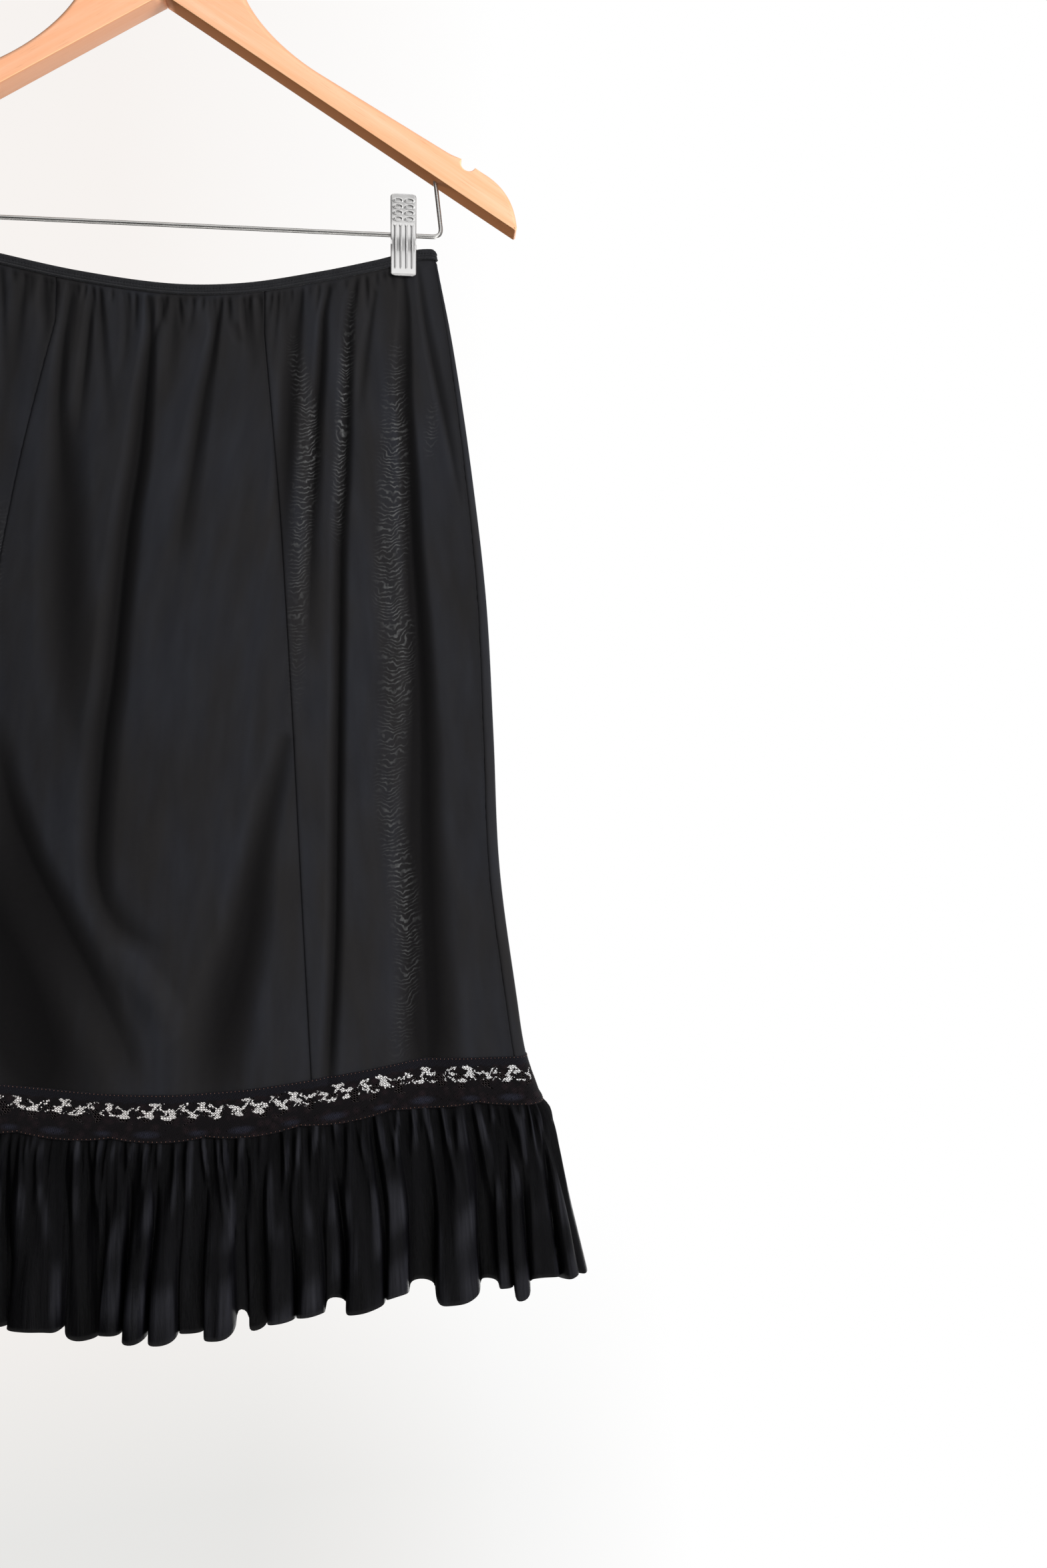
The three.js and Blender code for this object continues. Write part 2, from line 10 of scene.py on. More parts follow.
# %% Load the fixed frame
import math
import bpy
import numpy as np
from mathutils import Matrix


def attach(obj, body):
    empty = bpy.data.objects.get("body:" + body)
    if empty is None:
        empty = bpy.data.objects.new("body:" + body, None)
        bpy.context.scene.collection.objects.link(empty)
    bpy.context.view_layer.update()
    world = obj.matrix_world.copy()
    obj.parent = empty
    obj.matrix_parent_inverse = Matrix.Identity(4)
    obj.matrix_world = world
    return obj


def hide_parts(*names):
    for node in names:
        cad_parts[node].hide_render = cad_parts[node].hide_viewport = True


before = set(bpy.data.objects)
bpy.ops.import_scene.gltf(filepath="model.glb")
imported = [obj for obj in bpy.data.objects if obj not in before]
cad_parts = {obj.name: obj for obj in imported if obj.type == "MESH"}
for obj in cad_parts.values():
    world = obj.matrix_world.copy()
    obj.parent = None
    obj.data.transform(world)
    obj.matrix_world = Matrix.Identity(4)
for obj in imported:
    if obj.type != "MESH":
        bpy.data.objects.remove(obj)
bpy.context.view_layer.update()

scene = bpy.context.scene
MM = 0.001

# %% [markdown]
# ## The camera
#
# A short lens close to the skirt, level with its middle and turned a little to the right, so that the skirt
# fills the left of the frame and a plain wall the rest. The room stays empty: the wall is only light.

# %% Camera
camera = bpy.data.objects.new("camera", bpy.data.cameras.new("camera"))
camera.data.lens = 26
camera.data.sensor_width = 36
camera.location = (0.1575, -0.7366, -0.6003)
camera.rotation_euler = (math.radians(90), 0, math.radians(-5.46))
scene.collection.objects.link(camera)
scene.camera = camera
print("camera with a", round(camera.data.lens), "mm lens")

# %% [markdown]
# ## Reading small tables
#
# The skirt's form is written as a few levels, from the waist to the hem. A smooth curve through each column
# gives the sizes in between. The solids were made with the same curves, so the cloth lies on them.

# %% Tables and curves
def table(names, text):
    """A small table as columns: one row a line, the column names in order."""
    rows = [[float(word) for word in line.split()] for line in text.strip().splitlines()]
    return dict(zip(names.split(), np.array(rows).T))


def smooth(t):
    """An S-shaped step from 0 to 1."""
    t = np.clip(t, 0, 1)
    return t * t * (3 - 2 * t)


def curve(at, value):
    """A smooth curve through a column, with its slopes taken from the rows beside each one."""
    before = np.maximum(np.arange(len(at)) - 1, 0)
    after = np.minimum(np.arange(len(at)) + 1, len(at) - 1)
    slope = (value[after] - value[before]) / (at[after] - at[before])

    def read(where):
        inside = np.clip(where, at[0], at[-1])
        i = np.clip(np.searchsorted(at, inside) - 1, 0, len(at) - 2)
        span = at[i + 1] - at[i]
        t = (inside - at[i]) / span
        lean = (1 - t) * slope[i] - t * slope[i + 1]
        return value[i] + (value[i + 1] - value[i]) * smooth(t) + span * t * (1 - t) * lean

    return read


# %% The skirt's levels
CENTRE = -4.5            # the skirt hangs a little to the left of the hook
BAND_TOP = 255.2         # drop of the waistband's top edge at the sides
BAND_HEIGHT = 6.8
PANEL_TOP = BAND_TOP + BAND_HEIGHT
BAND_SAG = 26            # about how much lower the band hangs at its middle
LACE_TOP = 776
LACE_HEIGHT = 29
RUFFLE_TOP = LACE_TOP + LACE_HEIGHT
HEM = 919

LEVELS = table("drop half edge front back sag_front sag_back", """
    255 175.2  1.6  5.0  4.2 29.6 26.0
    262 175.8  1.6  5.2  4.4 29.5 26.0
    316 186.3  3.0  9.0  8.0 27.5 25.0
    394 198.0  4.6 13.5 12.5 25.0 24.0
    481 208.0  6.0 17.0 15.5 22.2 23.0
    568 212.8  7.0 19.5 17.5 19.4 22.5
    655 216.8  7.5 21.0 18.0 17.3 22.5
    742 228.4  8.0 21.5 18.0 16.0 23.5
    776 234.0  8.5 21.5 18.0 15.8 24.0
    805 243.5 11.0 24.0 21.0 13.8 22.0
    862 257.0 17.0 31.0 28.0 12.5 18.5
    919 267.0 23.0 37.0 34.0 13.0 17.0""")
DIP = table("across share", """
    -176 0
    -150 0.09
     -99 0.49
     -50 0.81
       5 1
      50 0.91
      97 0.58
     131 0.28
     158 0.02
     176 0""")
SEAMS = table("drop left right", """
    290  -66 62
    400  -89 71.5
    527 -108 79.5
    655 -118 86
    790 -126 93""")

level = {name: curve(LEVELS["drop"], LEVELS[name]) for name in LEVELS if name != "drop"}
dip = curve(DIP["across"], DIP["share"])
seam_left = curve(SEAMS["drop"], SEAMS["left"])
seam_right = curve(SEAMS["drop"], SEAMS["right"])
print("hem is", round(float(2 * level["half"](HEM))), "mm wide when it hangs flat")

# %% [markdown]
# ## Folds laid one by one
#
# A hanging knit shows a few long folds, many short gathers under the elastic, and one swag across the front.
# A simulation would drop them where it likes, so each fold is a stroke: stations down its length, each with
# its place across, its drop, half its width and how far it stands out (or in, below zero). A crisp fold has
# a sharp valley line, a soft one a round floor.

# %% Strokes
SHADE_SHIFT = 0.3        # moves each line left by this share of its reach, since light from the right
                         # darkens a fold on the right of its own valley


def fold(stations, crisp=0.0, lean=0.0):
    """Stations 'x drop reach depth; ...' rounded into a smooth path. Lean widens the right flank."""
    rows = np.array([[float(word) for word in part.split()] for part in stations.split(";")])
    places = np.arange(len(rows), dtype=float)
    fine = np.linspace(0, len(rows) - 1, 4 * len(rows) - 3)
    path = np.array([curve(places, rows[:, i])(fine) for i in range(4)]).T
    path[:, 0] -= SHADE_SHIFT * path[:, 2]
    return {"path": path, "crisp": crisp, "lean": lean}


def stroke(one, x, drop):
    """How far one fold moves the cloth at each place, and which side of its line the place is on."""
    path, lift, side = one["path"], np.zeros(x.shape), np.zeros(x.shape)
    reach = path[:, 2].max() * (1 + abs(one["lean"]))
    low, high = path[:, :2].min(axis=0) - reach, path[:, :2].max(axis=0) + reach
    near = (x > low[0]) & (x < high[0]) & (drop > low[1]) & (drop < high[1])
    here = np.stack([x[near], drop[near]], axis=-1)
    nearest, depth, beside = np.full(len(here), 9.0), np.zeros(len(here)), np.zeros(len(here))
    for start, end in zip(path[:-1], path[1:]):
        along = end[:2] - start[:2]
        t = np.clip((here - start[:2]) @ along / max(along @ along, 1e-9), 0, 1)
        off = here - start[:2] - t[:, None] * along
        width = start[2] + t * (end[2] - start[2])
        distance = np.hypot(off[:, 0], off[:, 1]) / (width * (1 + one["lean"] * np.sign(off[:, 0])))
        closer = distance < nearest
        nearest = np.where(closer, distance, nearest)
        depth = np.where(closer, start[3] + t * (end[3] - start[3]), depth)
        beside = np.where(closer, off[:, 0], beside)
    nearest = np.clip(nearest, 0, 1)
    lift[near] = depth * (1 - nearest) ** 2 * (1 + 2 * nearest * (1 - one["crisp"]))
    side[near] = beside
    return lift, side


def lift_of(folds, x, drop):
    """All of a layer's folds together."""
    return sum(stroke(one, x, drop)[0] for one in folds)


# %% The front's folds
FRONT_FOLDS = [
    # the deep trough down the middle, which turns into the swag's lower edge
    fold("-8 288 3 -1; -7 320 5.5 -3.2; -9 360 9 -4.6; -12 400 11 -5; -18 446 12 -5; -25 528 13 -4.8;"
         "-30 570 14 -4.6; -34 630 14 -4; -33 660 14 -3.2; -25 682 13 -2.4; -10 694 13 -1.6;"
         "10 702 12 0", 0.5),
    fold("2 290 2.5 -1; -2 309 3 -1.2; -6 325 3 0", 0.5),
    fold("36.5 290 3 -1; 33 314 4.5 -2; 30 334 6 -2.6; 27 355 8 -2.8; 24 378 9 -2.8; 20 410 10 -2.2;"
         "16 440 11 -1.5; 13 470 11 0", 0.5),
    fold("-56 360 14 0; -54 400 18 -2.5; -52 470 20 -3.2; -50 540 20 -2; -47 590 18 0"),
    # short gathers under the band
    fold("-71.7 284 3 -1.4; -71.7 300 4 -1.4; -71 325 5 0", 0.6),
    fold("-55 288 3 -1; -58 306 4 -2; -60 324 5 -2.6; -61 350 7 -2.6; -61 370 8 -2; -59 400 9 -1;"
         "-58 430 9 0", 0.6),
    fold("-43.4 288 3 -1; -44 306 4 -2.2; -45.5 329 5 -2.2; -47.3 357 6 -1.4; -49 385 7 0", 0.6),
    fold("-24.5 289 2.5 -1; -22.6 305 3.5 -1.3; -22 320 4 -1; -23 345 5 0", 0.5),
    fold("18.8 290 2.5 -1; 18 304 3 -0.8; 15 322 4 0", 0.5),
    fold("28.3 290 2.5 -0.9; 29.5 304 3 -0.7; 31 316 3 0", 0.5),
    fold("49.8 290 2.5 -1; 50.9 308 3 -1; 51.5 328 4 0", 0.5),
    fold("71.4 286 2.5 -1.1; 70 307 3.5 -1; 68.5 335 5 0", 0.5),
    fold("-83.7 282 3 -1.2; -85 297 4 -1.4; -86 315 5 -1; -88 345 6 0", 0.5),
    fold("45 311 5 -0.9; 47 318 5 -0.9", 0.0),
    # the long folds of the right side panel
    fold("85 280 4 -1; 83.4 305 6 -2.2; 81 340 8 -2.8; 78 387 9 -2.8; 76.5 434 9 -1.6; 76 480 9 0"),
    fold("105 274 2.5 -1.2; 100 297 4 -3; 99 316 5 -4; 98 340 5.5 -4.5; 96.3 363 6 -4.5; 95 398 6.5 -4;"
         "93.7 433 7 -3; 93 480 8 -1.6; 92 530 8 0", 0.7, 0.2),
    fold("122 272 2.5 -1; 117.4 292 5 -3; 116 316 6 -4; 115.7 345 6 -4; 115 374 6.5 -4; 114 409 6.5 -4;"
         "112 440 7 -4; 111 527 7 -4; 110 611 7 -4.4; 109 695 7 -4.4; 106 765 7.5 -3.6; 105 790 8 -3", 0.7),
    fold("132 284 3 -1; 128 313 4 -1.5; 125 339 5 -1.3; 122 370 5 0", 0.4),
    fold("150.5 272 3 -1; 152 297 5 -3.5; 152 322 6.5 -5; 152 350 7.5 -5.5; 154 379 8 -5.5; 156 408 9 -5.5;"
         "158 450 10 -5.8; 162 500 12 -6; 165 560 15 -6; 167 650 20 -6.2; 173 768 26 -6; 176 800 26 -5", 0.5),
    fold("159 266 2.5 -0.8; 163 294 4 -2; 168 321 5 -2.4; 174 349 5.5 -2.2; 179 372 5.5 -1.6; 185 402 5 -1;"
         "189 425 4 0", 0.8, 0.3),
    # the swag: a raised edge across the lower left, a valley on its right, a light patch between
    fold("-95 566 18 -1; -84 611 22 -3.4; -72 644 24 -4; -56 676 24 -4; -36 714 22 -3.4; -16 760 18 -1.6;"
         "-8 785 16 0", 0.4, -0.35),
    fold("78 573 8 -1.5; 64 640 14 -3.2; 57 695 20 -4; 48 736 24 -4; 42 777 26 -3; 40 800 22 -2"),
    fold("-30 700 14 0; -12 718 16 2.2; 5 738 16 2.2; 14 760 14 0"),
    # the left side panel
    fold("-104 274 3 -1; -106 300 5 -3; -109 340 7 -3.6; -114 400 8 -3.2; -120 470 9 -2; -124 540 9 0", 0.6),
    fold("-128 272 3 -1; -132 300 5 -3; -137 350 7 -4; -143 430 9 -4.4; -150 540 12 -4.6; -158 650 15 -4.8;"
         "-166 770 17 -4.4; -168 800 16 -4", 0.5),
    fold("-152 268 2.5 -1; -157 300 4 -2; -164 340 5 -2.2; -172 390 5 -1.2; -178 430 5 0", 0.7, -0.3),
    fold("-118 600 10 0; -126 660 14 -2.2; -130 730 16 -3; -132 790 16 -2"),
    # the broad hollow under the swag
    fold("-112 610 18 0; -100 660 32 -3; -82 710 42 -4.6; -66 760 46 -5; -56 800 46 -4.6"),
]
print(len(FRONT_FOLDS), "folds on the front")

# %% [markdown]
# The back isn't seen from the front, but it hangs by the same rules: long folds that start under the clips
# and die out towards the lace, and short gathers under the elastic at uneven steps. The gathers come from a
# seeded draw, so each run gives the same skirt.

# %% The back's folds
BACK_FOLDS = [
    fold("-150 272 3 -1; -147 300 5 -3; -146 340 8 -5; -152 430 11 -5.4; -160 560 14 -5; -170 700 17 -4.6;"
         "-174 790 16 -4", 0.5),
    fold("-96 280 3 -1; -92 310 6 -3; -94 380 9 -4.8; -98 470 10 -5; -101 580 11 -4.4; -103 680 12 -2.4;"
         "-104 740 12 0", 0.6),
    fold("-34 290 3 -1; -30 330 7 -3.4; -33 420 10 -4.6; -38 520 12 -4.2; -42 620 13 -2.4;"
         "-44 700 13 0", 0.5),
    fold("40 290 3 -1; 36 320 6 -3; 40 420 10 -4.6; 45 540 12 -5; 50 660 14 -4; 53 770 15 -2;"
         "54 800 14 -1", 0.5),
    fold("94 282 3 -1; 98 310 6 -3.4; 103 400 9 -4.6; 108 500 10 -4; 112 600 11 -1.6; 113 660 11 0", 0.6),
    fold("151 272 3 -1; 148 310 6 -3.6; 153 400 9 -5.2; 161 520 13 -5.4; 168 660 16 -5; 172 790 17 -4", 0.5),
    fold("-66 560 12 0; -58 620 18 -2.6; -44 680 22 -3.4; -22 730 22 -2.4; -4 765 20 0", 0.2, -0.3),
    fold("84 600 10 0; 78 670 16 -2.6; 70 740 20 -3.2; 66 795 20 -2.4"),
    fold("4 420 16 0; 2 500 20 2.2; 0 580 20 2; -2 650 16 0"),
]


def gathers(rng, start, end, step, lengths, depths, reach, crisp):
    """Uneven puckers that start just under the sagging band, between two places across."""
    made = []
    x = start
    while x < end:
        top = PANEL_TOP + 1 + BAND_SAG * float(dip(x))
        length = rng.uniform(*lengths)
        depth = rng.uniform(*depths)
        wide = reach * rng.uniform(0.75, 1.3)
        drift = length * rng.uniform(-0.12, 0.12)
        made.append(fold(f"{x} {top} {wide * .7} {-depth * .6};"
                         f"{x + drift * .3} {top + length * .3} {wide} {-depth};"
                         f"{x + drift} {top + length} {wide * 1.5} 0", crisp))
        x += step * rng.uniform(0.55, 1.5)
    return made


rng = np.random.default_rng(11)
BACK_FOLDS += gathers(rng, -160, 160, 13, (30, 90), (0.8, 2.4), 3.6, 0.55)
BACK_FOLDS += gathers(rng, -168, 168, 7, (8, 28), (0.5, 1.3), 2.6, 0.3)
FRONT_FOLDS += gathers(rng, -150, -92, 12, (30, 85), (1.0, 2.6), 3.6, 0.55)
FRONT_FOLDS += gathers(rng, -166, 150, 6, (8, 30), (0.7, 2.0), 2.3, 0.5)
FRONT_FOLDS += gathers(rng, -86, 80, 17, (40, 110), (0.7, 1.6), 5.0, 0.2)
print(len(BACK_FOLDS), "folds on the back")

# %% [markdown]
# ## The surface of the skirt
#
# One function gives the skirt's outside at any place. "Around" runs 0-1 over the front from left to right,
# 1-2 round the right side, 2-3 over the back and 3-4 round the left side. Everything soft is made from it:
# panels, band, lace, stitches and the top of the ruffle, each moved in or out by its own thickness.

# %% The surface
LAYER_ROOM = 0.9         # an inward fold stops this far from the middle of the skirt
SIDE_FADE = 9            # folds die away over this length at the folded sides
BAND_FADE = 4            # and over this length under the band
LACE_CALM = 0.55         # the lace and its seams flatten the folds by this share
CALM_LENGTH = 60         # over this length, half of it above the lace


def plain_form(around, drop):
    """The unfolded skirt: each place's quarter and share of it, the edge radius and how far it stands."""
    turn = np.mod(around, 4)
    quarter = np.minimum(np.floor(turn), 3)
    t = turn - quarter
    edge = level["edge"](drop)
    full = np.where(quarter == 2, level["back"](drop), level["front"](drop))
    u = 2 * t - 1
    return quarter, t, edge, edge + (full - edge) * (1 - u * u) ** 2


def skirt_point(around, drop, out=0.0):
    """Points in millimetres on the creased skirt, moved outwards by 'out'."""
    around, drop = np.broadcast_arrays(np.asarray(around, float), np.asarray(drop, float))
    quarter, t, edge, stand = plain_form(around, drop)
    flat = level["half"](drop) - edge
    front, back = quarter == 0, quarter == 2
    u = np.where(front, 2 * t - 1, np.where(back, 1 - 2 * t, np.where(quarter == 1, 1, -1)))
    angle = (t - 0.5) * np.pi
    side = np.where(front | back, 0, np.where(quarter == 1, 1, -1))
    x = CENTRE + flat * u + np.where(side != 0, side * (edge + out) * np.cos(angle), 0)
    sag = np.where(front, level["sag_front"](drop), np.where(back, level["sag_back"](drop), 0)) * dip(x)
    down = drop + sag
    lift = np.zeros(x.shape)
    lift[front] = lift_of(FRONT_FOLDS, x[front], down[front])
    lift[back] = lift_of(BACK_FOLDS, x[back], down[back])
    lift *= smooth(flat * (1 - np.abs(u)) / SIDE_FADE) * smooth((drop - PANEL_TOP - 0.5) / BAND_FADE)
    lift *= 1 - LACE_CALM * smooth((drop - LACE_TOP + CALM_LENGTH / 2) / CALM_LENGTH)
    room = np.maximum(stand - LAYER_ROOM, 0.1)
    lift = np.where(lift < 0, room * np.tanh(lift / room), lift)
    facing = np.where(front, -1, 1)
    y = np.where(side != 0, side * (edge + out) * np.sin(angle), facing * (stand + lift + out))
    return np.stack([x, y, -down], axis=-1)


def front_place(x, drop):
    """The place around for a distance across the front."""
    return 0.5 + 0.5 * (x - CENTRE) / (level["half"](drop) - level["edge"](drop))


print("the middle of the hem hangs at, mm:", np.round(skirt_point(0.5, HEM)))


# %% [markdown]
# ## From points to cloth
#
# Cloth could be sculpted or simulated. Here every sheet is a grid of points read off the skirt's surface, so
# it can be measured along the threads and cut to any edge. A Solidify modifier gives it a wall, and numbers
# stored on its points tell the finish where there is a valley, a seam or a crest.

# %% Measuring along the cloth
def run_of(points):
    """Length run so far at each point of a line, or of each line of a grid, from zero at its start."""
    steps = np.linalg.norm(np.diff(points, axis=0), axis=-1)
    return np.concatenate([np.zeros_like(steps[:1]), np.cumsum(steps, axis=0)])


def cloth_area(points):
    """The area of a grid of points, in square metres."""
    along = points[1:, :-1] - points[:-1, :-1]
    down = points[:-1, 1:] - points[:-1, :-1]
    return float(np.linalg.norm(np.cross(along, down), axis=-1).sum()) * MM * MM


print("the hem is", round(run_of(skirt_point(np.linspace(0, 4, 800), HEM))[-1]), "mm round")

# %% Meshes from grids of points
UV_SCALE = 0.01          # in the cloth's own coordinates, 1 is 100 mm


def mesh_piece(name, points, faces, uv=None, fields=None, smooth_faces=True):
    """A named mesh from points in millimetres. 'uv' and 'fields' hold one row or number for each point."""
    mesh = bpy.data.meshes.new(name)
    points = np.asarray(points, float).reshape(-1, 3) * MM
    mesh.from_pydata(points.tolist(), [], [list(map(int, face)) for face in faces])
    corners = np.zeros(len(mesh.loops), int)
    mesh.loops.foreach_get("vertex_index", corners)
    if uv is not None:
        layer = mesh.uv_layers.new(name="cloth")
        layer.data.foreach_set("uv", np.asarray(uv, float).reshape(-1, 2)[corners].ravel())
    for key, values in (fields or {}).items():
        stored = mesh.attributes.new(key, "FLOAT", "POINT").data
        stored.foreach_set("value", np.ravel(values).astype(np.float32))
    mesh.polygons.foreach_set("use_smooth", [smooth_faces] * len(mesh.polygons))
    piece = bpy.data.objects.new(name, mesh)
    scene.collection.objects.link(piece)
    return piece


def grid_faces(columns, rows, ring=False, closed=False):
    """Four-sided faces over a grid. A ring joins its last column to the first, a closed grid its rows."""
    i, j = np.meshgrid(np.arange(columns if ring else columns - 1),
                       np.arange(rows if closed else rows - 1), indexing="ij")
    k, m = (i + 1) % columns, (j + 1) % rows
    return np.stack([i * rows + j, i * rows + m, k * rows + m, k * rows + j], axis=-1).reshape(-1, 4)


def thicken(piece, wall):
    """Turns a sheet into a thin wall, inwards from its outer face."""
    solidify = piece.modifiers.new("wall", "SOLIDIFY")
    solidify.thickness = wall * MM
    solidify.offset = -1


def settle(piece, material, slot, *nodes):
    """Gives a piece its finish. It rides on the one body and stands for its solids. The slot is not used."""
    piece.data.materials.append(material)
    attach(piece, "root")
    if nodes:
        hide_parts(*nodes)
    return piece


# %% [markdown]
# ## Shader building blocks
#
# A finish is a Principled shader whose colour, roughness and bump come from procedural nodes. What several
# finishes share is a node group: threads (the fine columns and courses of a cloth), mottle (soft uneven
# shade) and streaks (long fine lines in wood and brushed wire). Each material sets its own values.

# %% Node helpers
def add(tree, kind, inputs=None, **settings):
    """Adds a node. Each input is a plain value or another node's output."""
    node = tree.nodes.new(kind)
    for name, value in settings.items():
        setattr(node, name, value)
    for name, value in (inputs or {}).items():
        if isinstance(value, bpy.types.NodeSocket):
            tree.links.new(value, node.inputs[name])
        else:
            node.inputs[name].default_value = value
    return node


def calc(tree, operation, *values):
    """One step of arithmetic between values or outputs."""
    return add(tree, "ShaderNodeMath", dict(enumerate(values)), operation=operation).outputs[0]


def blend(tree, share, first, second):
    """A colour between two colours."""
    return add(tree, "ShaderNodeMix", {0: share, 6: first, 7: second}, data_type="RGBA").outputs[2]


def ranged(tree, value, low, high, to_low=0.0, to_high=1.0):
    """A value's range, clamped and moved to another one."""
    ends = {"Value": value, "From Min": low, "From Max": high, "To Min": to_low, "To Max": to_high}
    return add(tree, "ShaderNodeMapRange", ends).outputs[0]


def group(name, inputs, outputs):
    """An empty node group with named sockets."""
    made = bpy.data.node_groups.new(name, "ShaderNodeTree")
    for label, kind, value in inputs:
        socket = made.interface.new_socket(label, in_out="INPUT", socket_type=kind)
        if value is not None:
            socket.default_value = value
    for label in outputs:
        made.interface.new_socket(label, in_out="OUTPUT", socket_type="NodeSocketFloat")
    return made, made.nodes.new("NodeGroupInput").outputs, made.nodes.new("NodeGroupOutput").inputs


def use(tree, made, **inputs):
    """Places a group in a material and returns its outputs."""
    return add(tree, "ShaderNodeGroup", inputs, node_tree=made).outputs


# %% The shared groups
FLOAT, VECTOR = "NodeSocketFloat", "NodeSocketVector"

threads, given, result = group(
    "threads", [("Vector", VECTOR, None), ("Columns", FLOAT, 200.0), ("Courses", FLOAT, 150.0),
                ("Slub", FLOAT, 0.3)], ["Height"])
axes = add(threads, "ShaderNodeSeparateXYZ", {0: given["Vector"]}).outputs
wobble = add(threads, "ShaderNodeTexNoise", {"Vector": given["Vector"], "Scale": 60.0}).outputs[0]
wobble = calc(threads, "MULTIPLY", wobble, given["Slub"])
waves = []
for axis, count in ((0, "Columns"), (1, "Courses")):
    place = calc(threads, "MULTIPLY_ADD", axes[axis], given[count], wobble)
    waves.append(calc(threads, "SINE", calc(threads, "MULTIPLY", place, math.tau)))
height = calc(threads, "MULTIPLY_ADD", waves[1], 0.35, calc(threads, "MULTIPLY", waves[0], 0.65))
threads.links.new(height, result["Height"])


def stretched_noise(tree, vector, stretch, low, high, **noise):
    """Noise drawn out along the axes, with its contrast raised."""
    stretch = add(tree, "ShaderNodeCombineXYZ", stretch).outputs[0]
    spread = add(tree, "ShaderNodeVectorMath", {0: vector, 1: stretch}, operation="MULTIPLY").outputs[0]
    cloudy = add(tree, "ShaderNodeTexNoise", {"Vector": spread, "Scale": 1.0, **noise}).outputs[0]
    return ranged(tree, cloudy, low, high)


mottle, given, result = group(
    "mottle", [("Vector", VECTOR, None), ("Across", FLOAT, 6.0), ("Along", FLOAT, 1.0)], ["Shade"])
shade = stretched_noise(mottle, given["Vector"], {0: given["Across"], 1: given["Along"], 2: 1.0},
                        0.3, 0.7, Detail=4.0)
mottle.links.new(shade, result["Shade"])

streaks, given, result = group(
    "streaks", [("Vector", VECTOR, None), ("Fine", FLOAT, 90.0), ("Long", FLOAT, 2.0)], ["Line"])
line = stretched_noise(streaks, given["Vector"], {0: given["Long"], 1: given["Fine"], 2: given["Fine"]},
                       0.32, 0.68, Detail=6.0, Roughness=0.6)
streaks.links.new(line, result["Line"])
print(len(bpy.data.node_groups), "node groups made")


# %% Making a finish
def finish(name, **constants):
    """A Principled material. Values that are the same all over are set on the shader's own sockets."""
    made = bpy.data.materials.new(name)
    made.use_nodes = True
    shader = made.node_tree.nodes["Principled BSDF"]
    for socket, value in constants.items():
        shader.inputs[socket.replace("_", " ")].default_value = value
    return made, made.node_tree, shader


def drive(tree, shader, **outputs):
    """Links outputs to the shader's sockets of the same names."""
    for socket, value in outputs.items():
        tree.links.new(value, shader.inputs[socket.replace("_", " ")])


def bump(tree, shader, height, distance):
    """Feeds a height, in millimetres of relief, to the shader's normal."""
    relief = add(tree, "ShaderNodeBump", {"Height": height, "Distance": distance * MM, "Strength": 1.0})
    drive(tree, shader, Normal=relief.outputs[0])


def field(tree, name):
    """A number stored on the mesh."""
    return add(tree, "ShaderNodeAttribute", attribute_name=name).outputs["Fac"]


def own_coordinates(tree):
    """The cloth's own length and drop, in tenths of a metre."""
    return add(tree, "ShaderNodeUVMap", uv_map="cloth").outputs[0]


# %% [markdown]
# ## Cloth finishes
#
# The panels are a fine black nylon knit with a little blue in it. Where the front and back layers lie close,
# their two grids of stitches beat against each other: thin pale zigzag lines, like watered silk. Two real
# grids would be far too fine to model, so the lines are painted where the folds bring them out. The knit gets
# painted shade in the valleys of its folds. The ruffle is a satin: almost black, with narrow bright streaks on
# its gathers, partly real reflection and partly a highlight painted on their crests.

# %% Knit
knit, tree, shader = finish("knit", Roughness=0.6, Specular_IOR_Level=0.12, Sheen_Weight=0.05,
                            Sheen_Roughness=0.35, Sheen_Tint=(0.72, 0.78, 1.0, 1))
place = own_coordinates(tree)
# painted shade: the folds' valleys, read from the stored depth, turn the knit warmer and then darker
valley = ranged(tree, field(tree, "depth"), -3.6, 0.4)
uneven = use(tree, mottle, Vector=place, Across=11.0, Along=2.0)["Shade"]
cool = blend(tree, uneven, (0.0122, 0.0127, 0.0156, 1), (0.0160, 0.0167, 0.0202, 1))
warm = blend(tree, uneven, (0.0112, 0.0106, 0.0110, 1), (0.0142, 0.0135, 0.0140, 1))
# the warm tone is partly painted shade in the valleys and partly a patchy cast at random
cast = use(tree, mottle, Vector=place, Across=4.0, Along=0.9)["Shade"]
lit = blend(tree, ranged(tree, calc(tree, "MULTIPLY", cast, valley), 0.15, 0.75), warm, cool)
shade = blend(tree, valley, (0.0036, 0.0033, 0.0035, 1), lit)
shade = blend(tree, calc(tree, "MULTIPLY", field(tree, "seam"), 0.5), shade, (0.0025, 0.0024, 0.0026, 1))
level_down = add(tree, "ShaderNodeSeparateXYZ", {0: place}).outputs[1]
zigzag = calc(tree, "MULTIPLY_ADD", calc(tree, "ABSOLUTE", field(tree, "beside")), 0.13,
              calc(tree, "MULTIPLY", level_down, 33.0))
drift = add(tree, "ShaderNodeTexNoise", {"Vector": place, "Scale": 16.0, "Detail": 2.0}).outputs[0]
slow = add(tree, "ShaderNodeTexNoise", {"Vector": place, "Scale": 4.0, "Detail": 1.0}).outputs[0]
wander = calc(tree, "MULTIPLY_ADD", drift, 2.4, calc(tree, "MULTIPLY_ADD", slow, 6.0, zigzag))
beat = calc(tree, "SINE", calc(tree, "MULTIPLY", wander, math.tau))
patchy = use(tree, mottle, Vector=place, Across=26.0, Along=11.0)["Shade"]
faint = calc(tree, "MULTIPLY", field(tree, "moire"), ranged(tree, patchy, 0.2, 0.8, 0.15, 1.0))
pale = calc(tree, "MULTIPLY", ranged(tree, beat, 0.2, 1.0), faint)
drive(tree, shader, Base_Color=blend(tree, pale, shade, (0.066, 0.067, 0.067, 1)))
bump(tree, shader, use(tree, threads, Vector=place, Columns=260.0, Courses=180.0)["Height"], 0.02)
print("knit has", len(tree.nodes), "nodes")

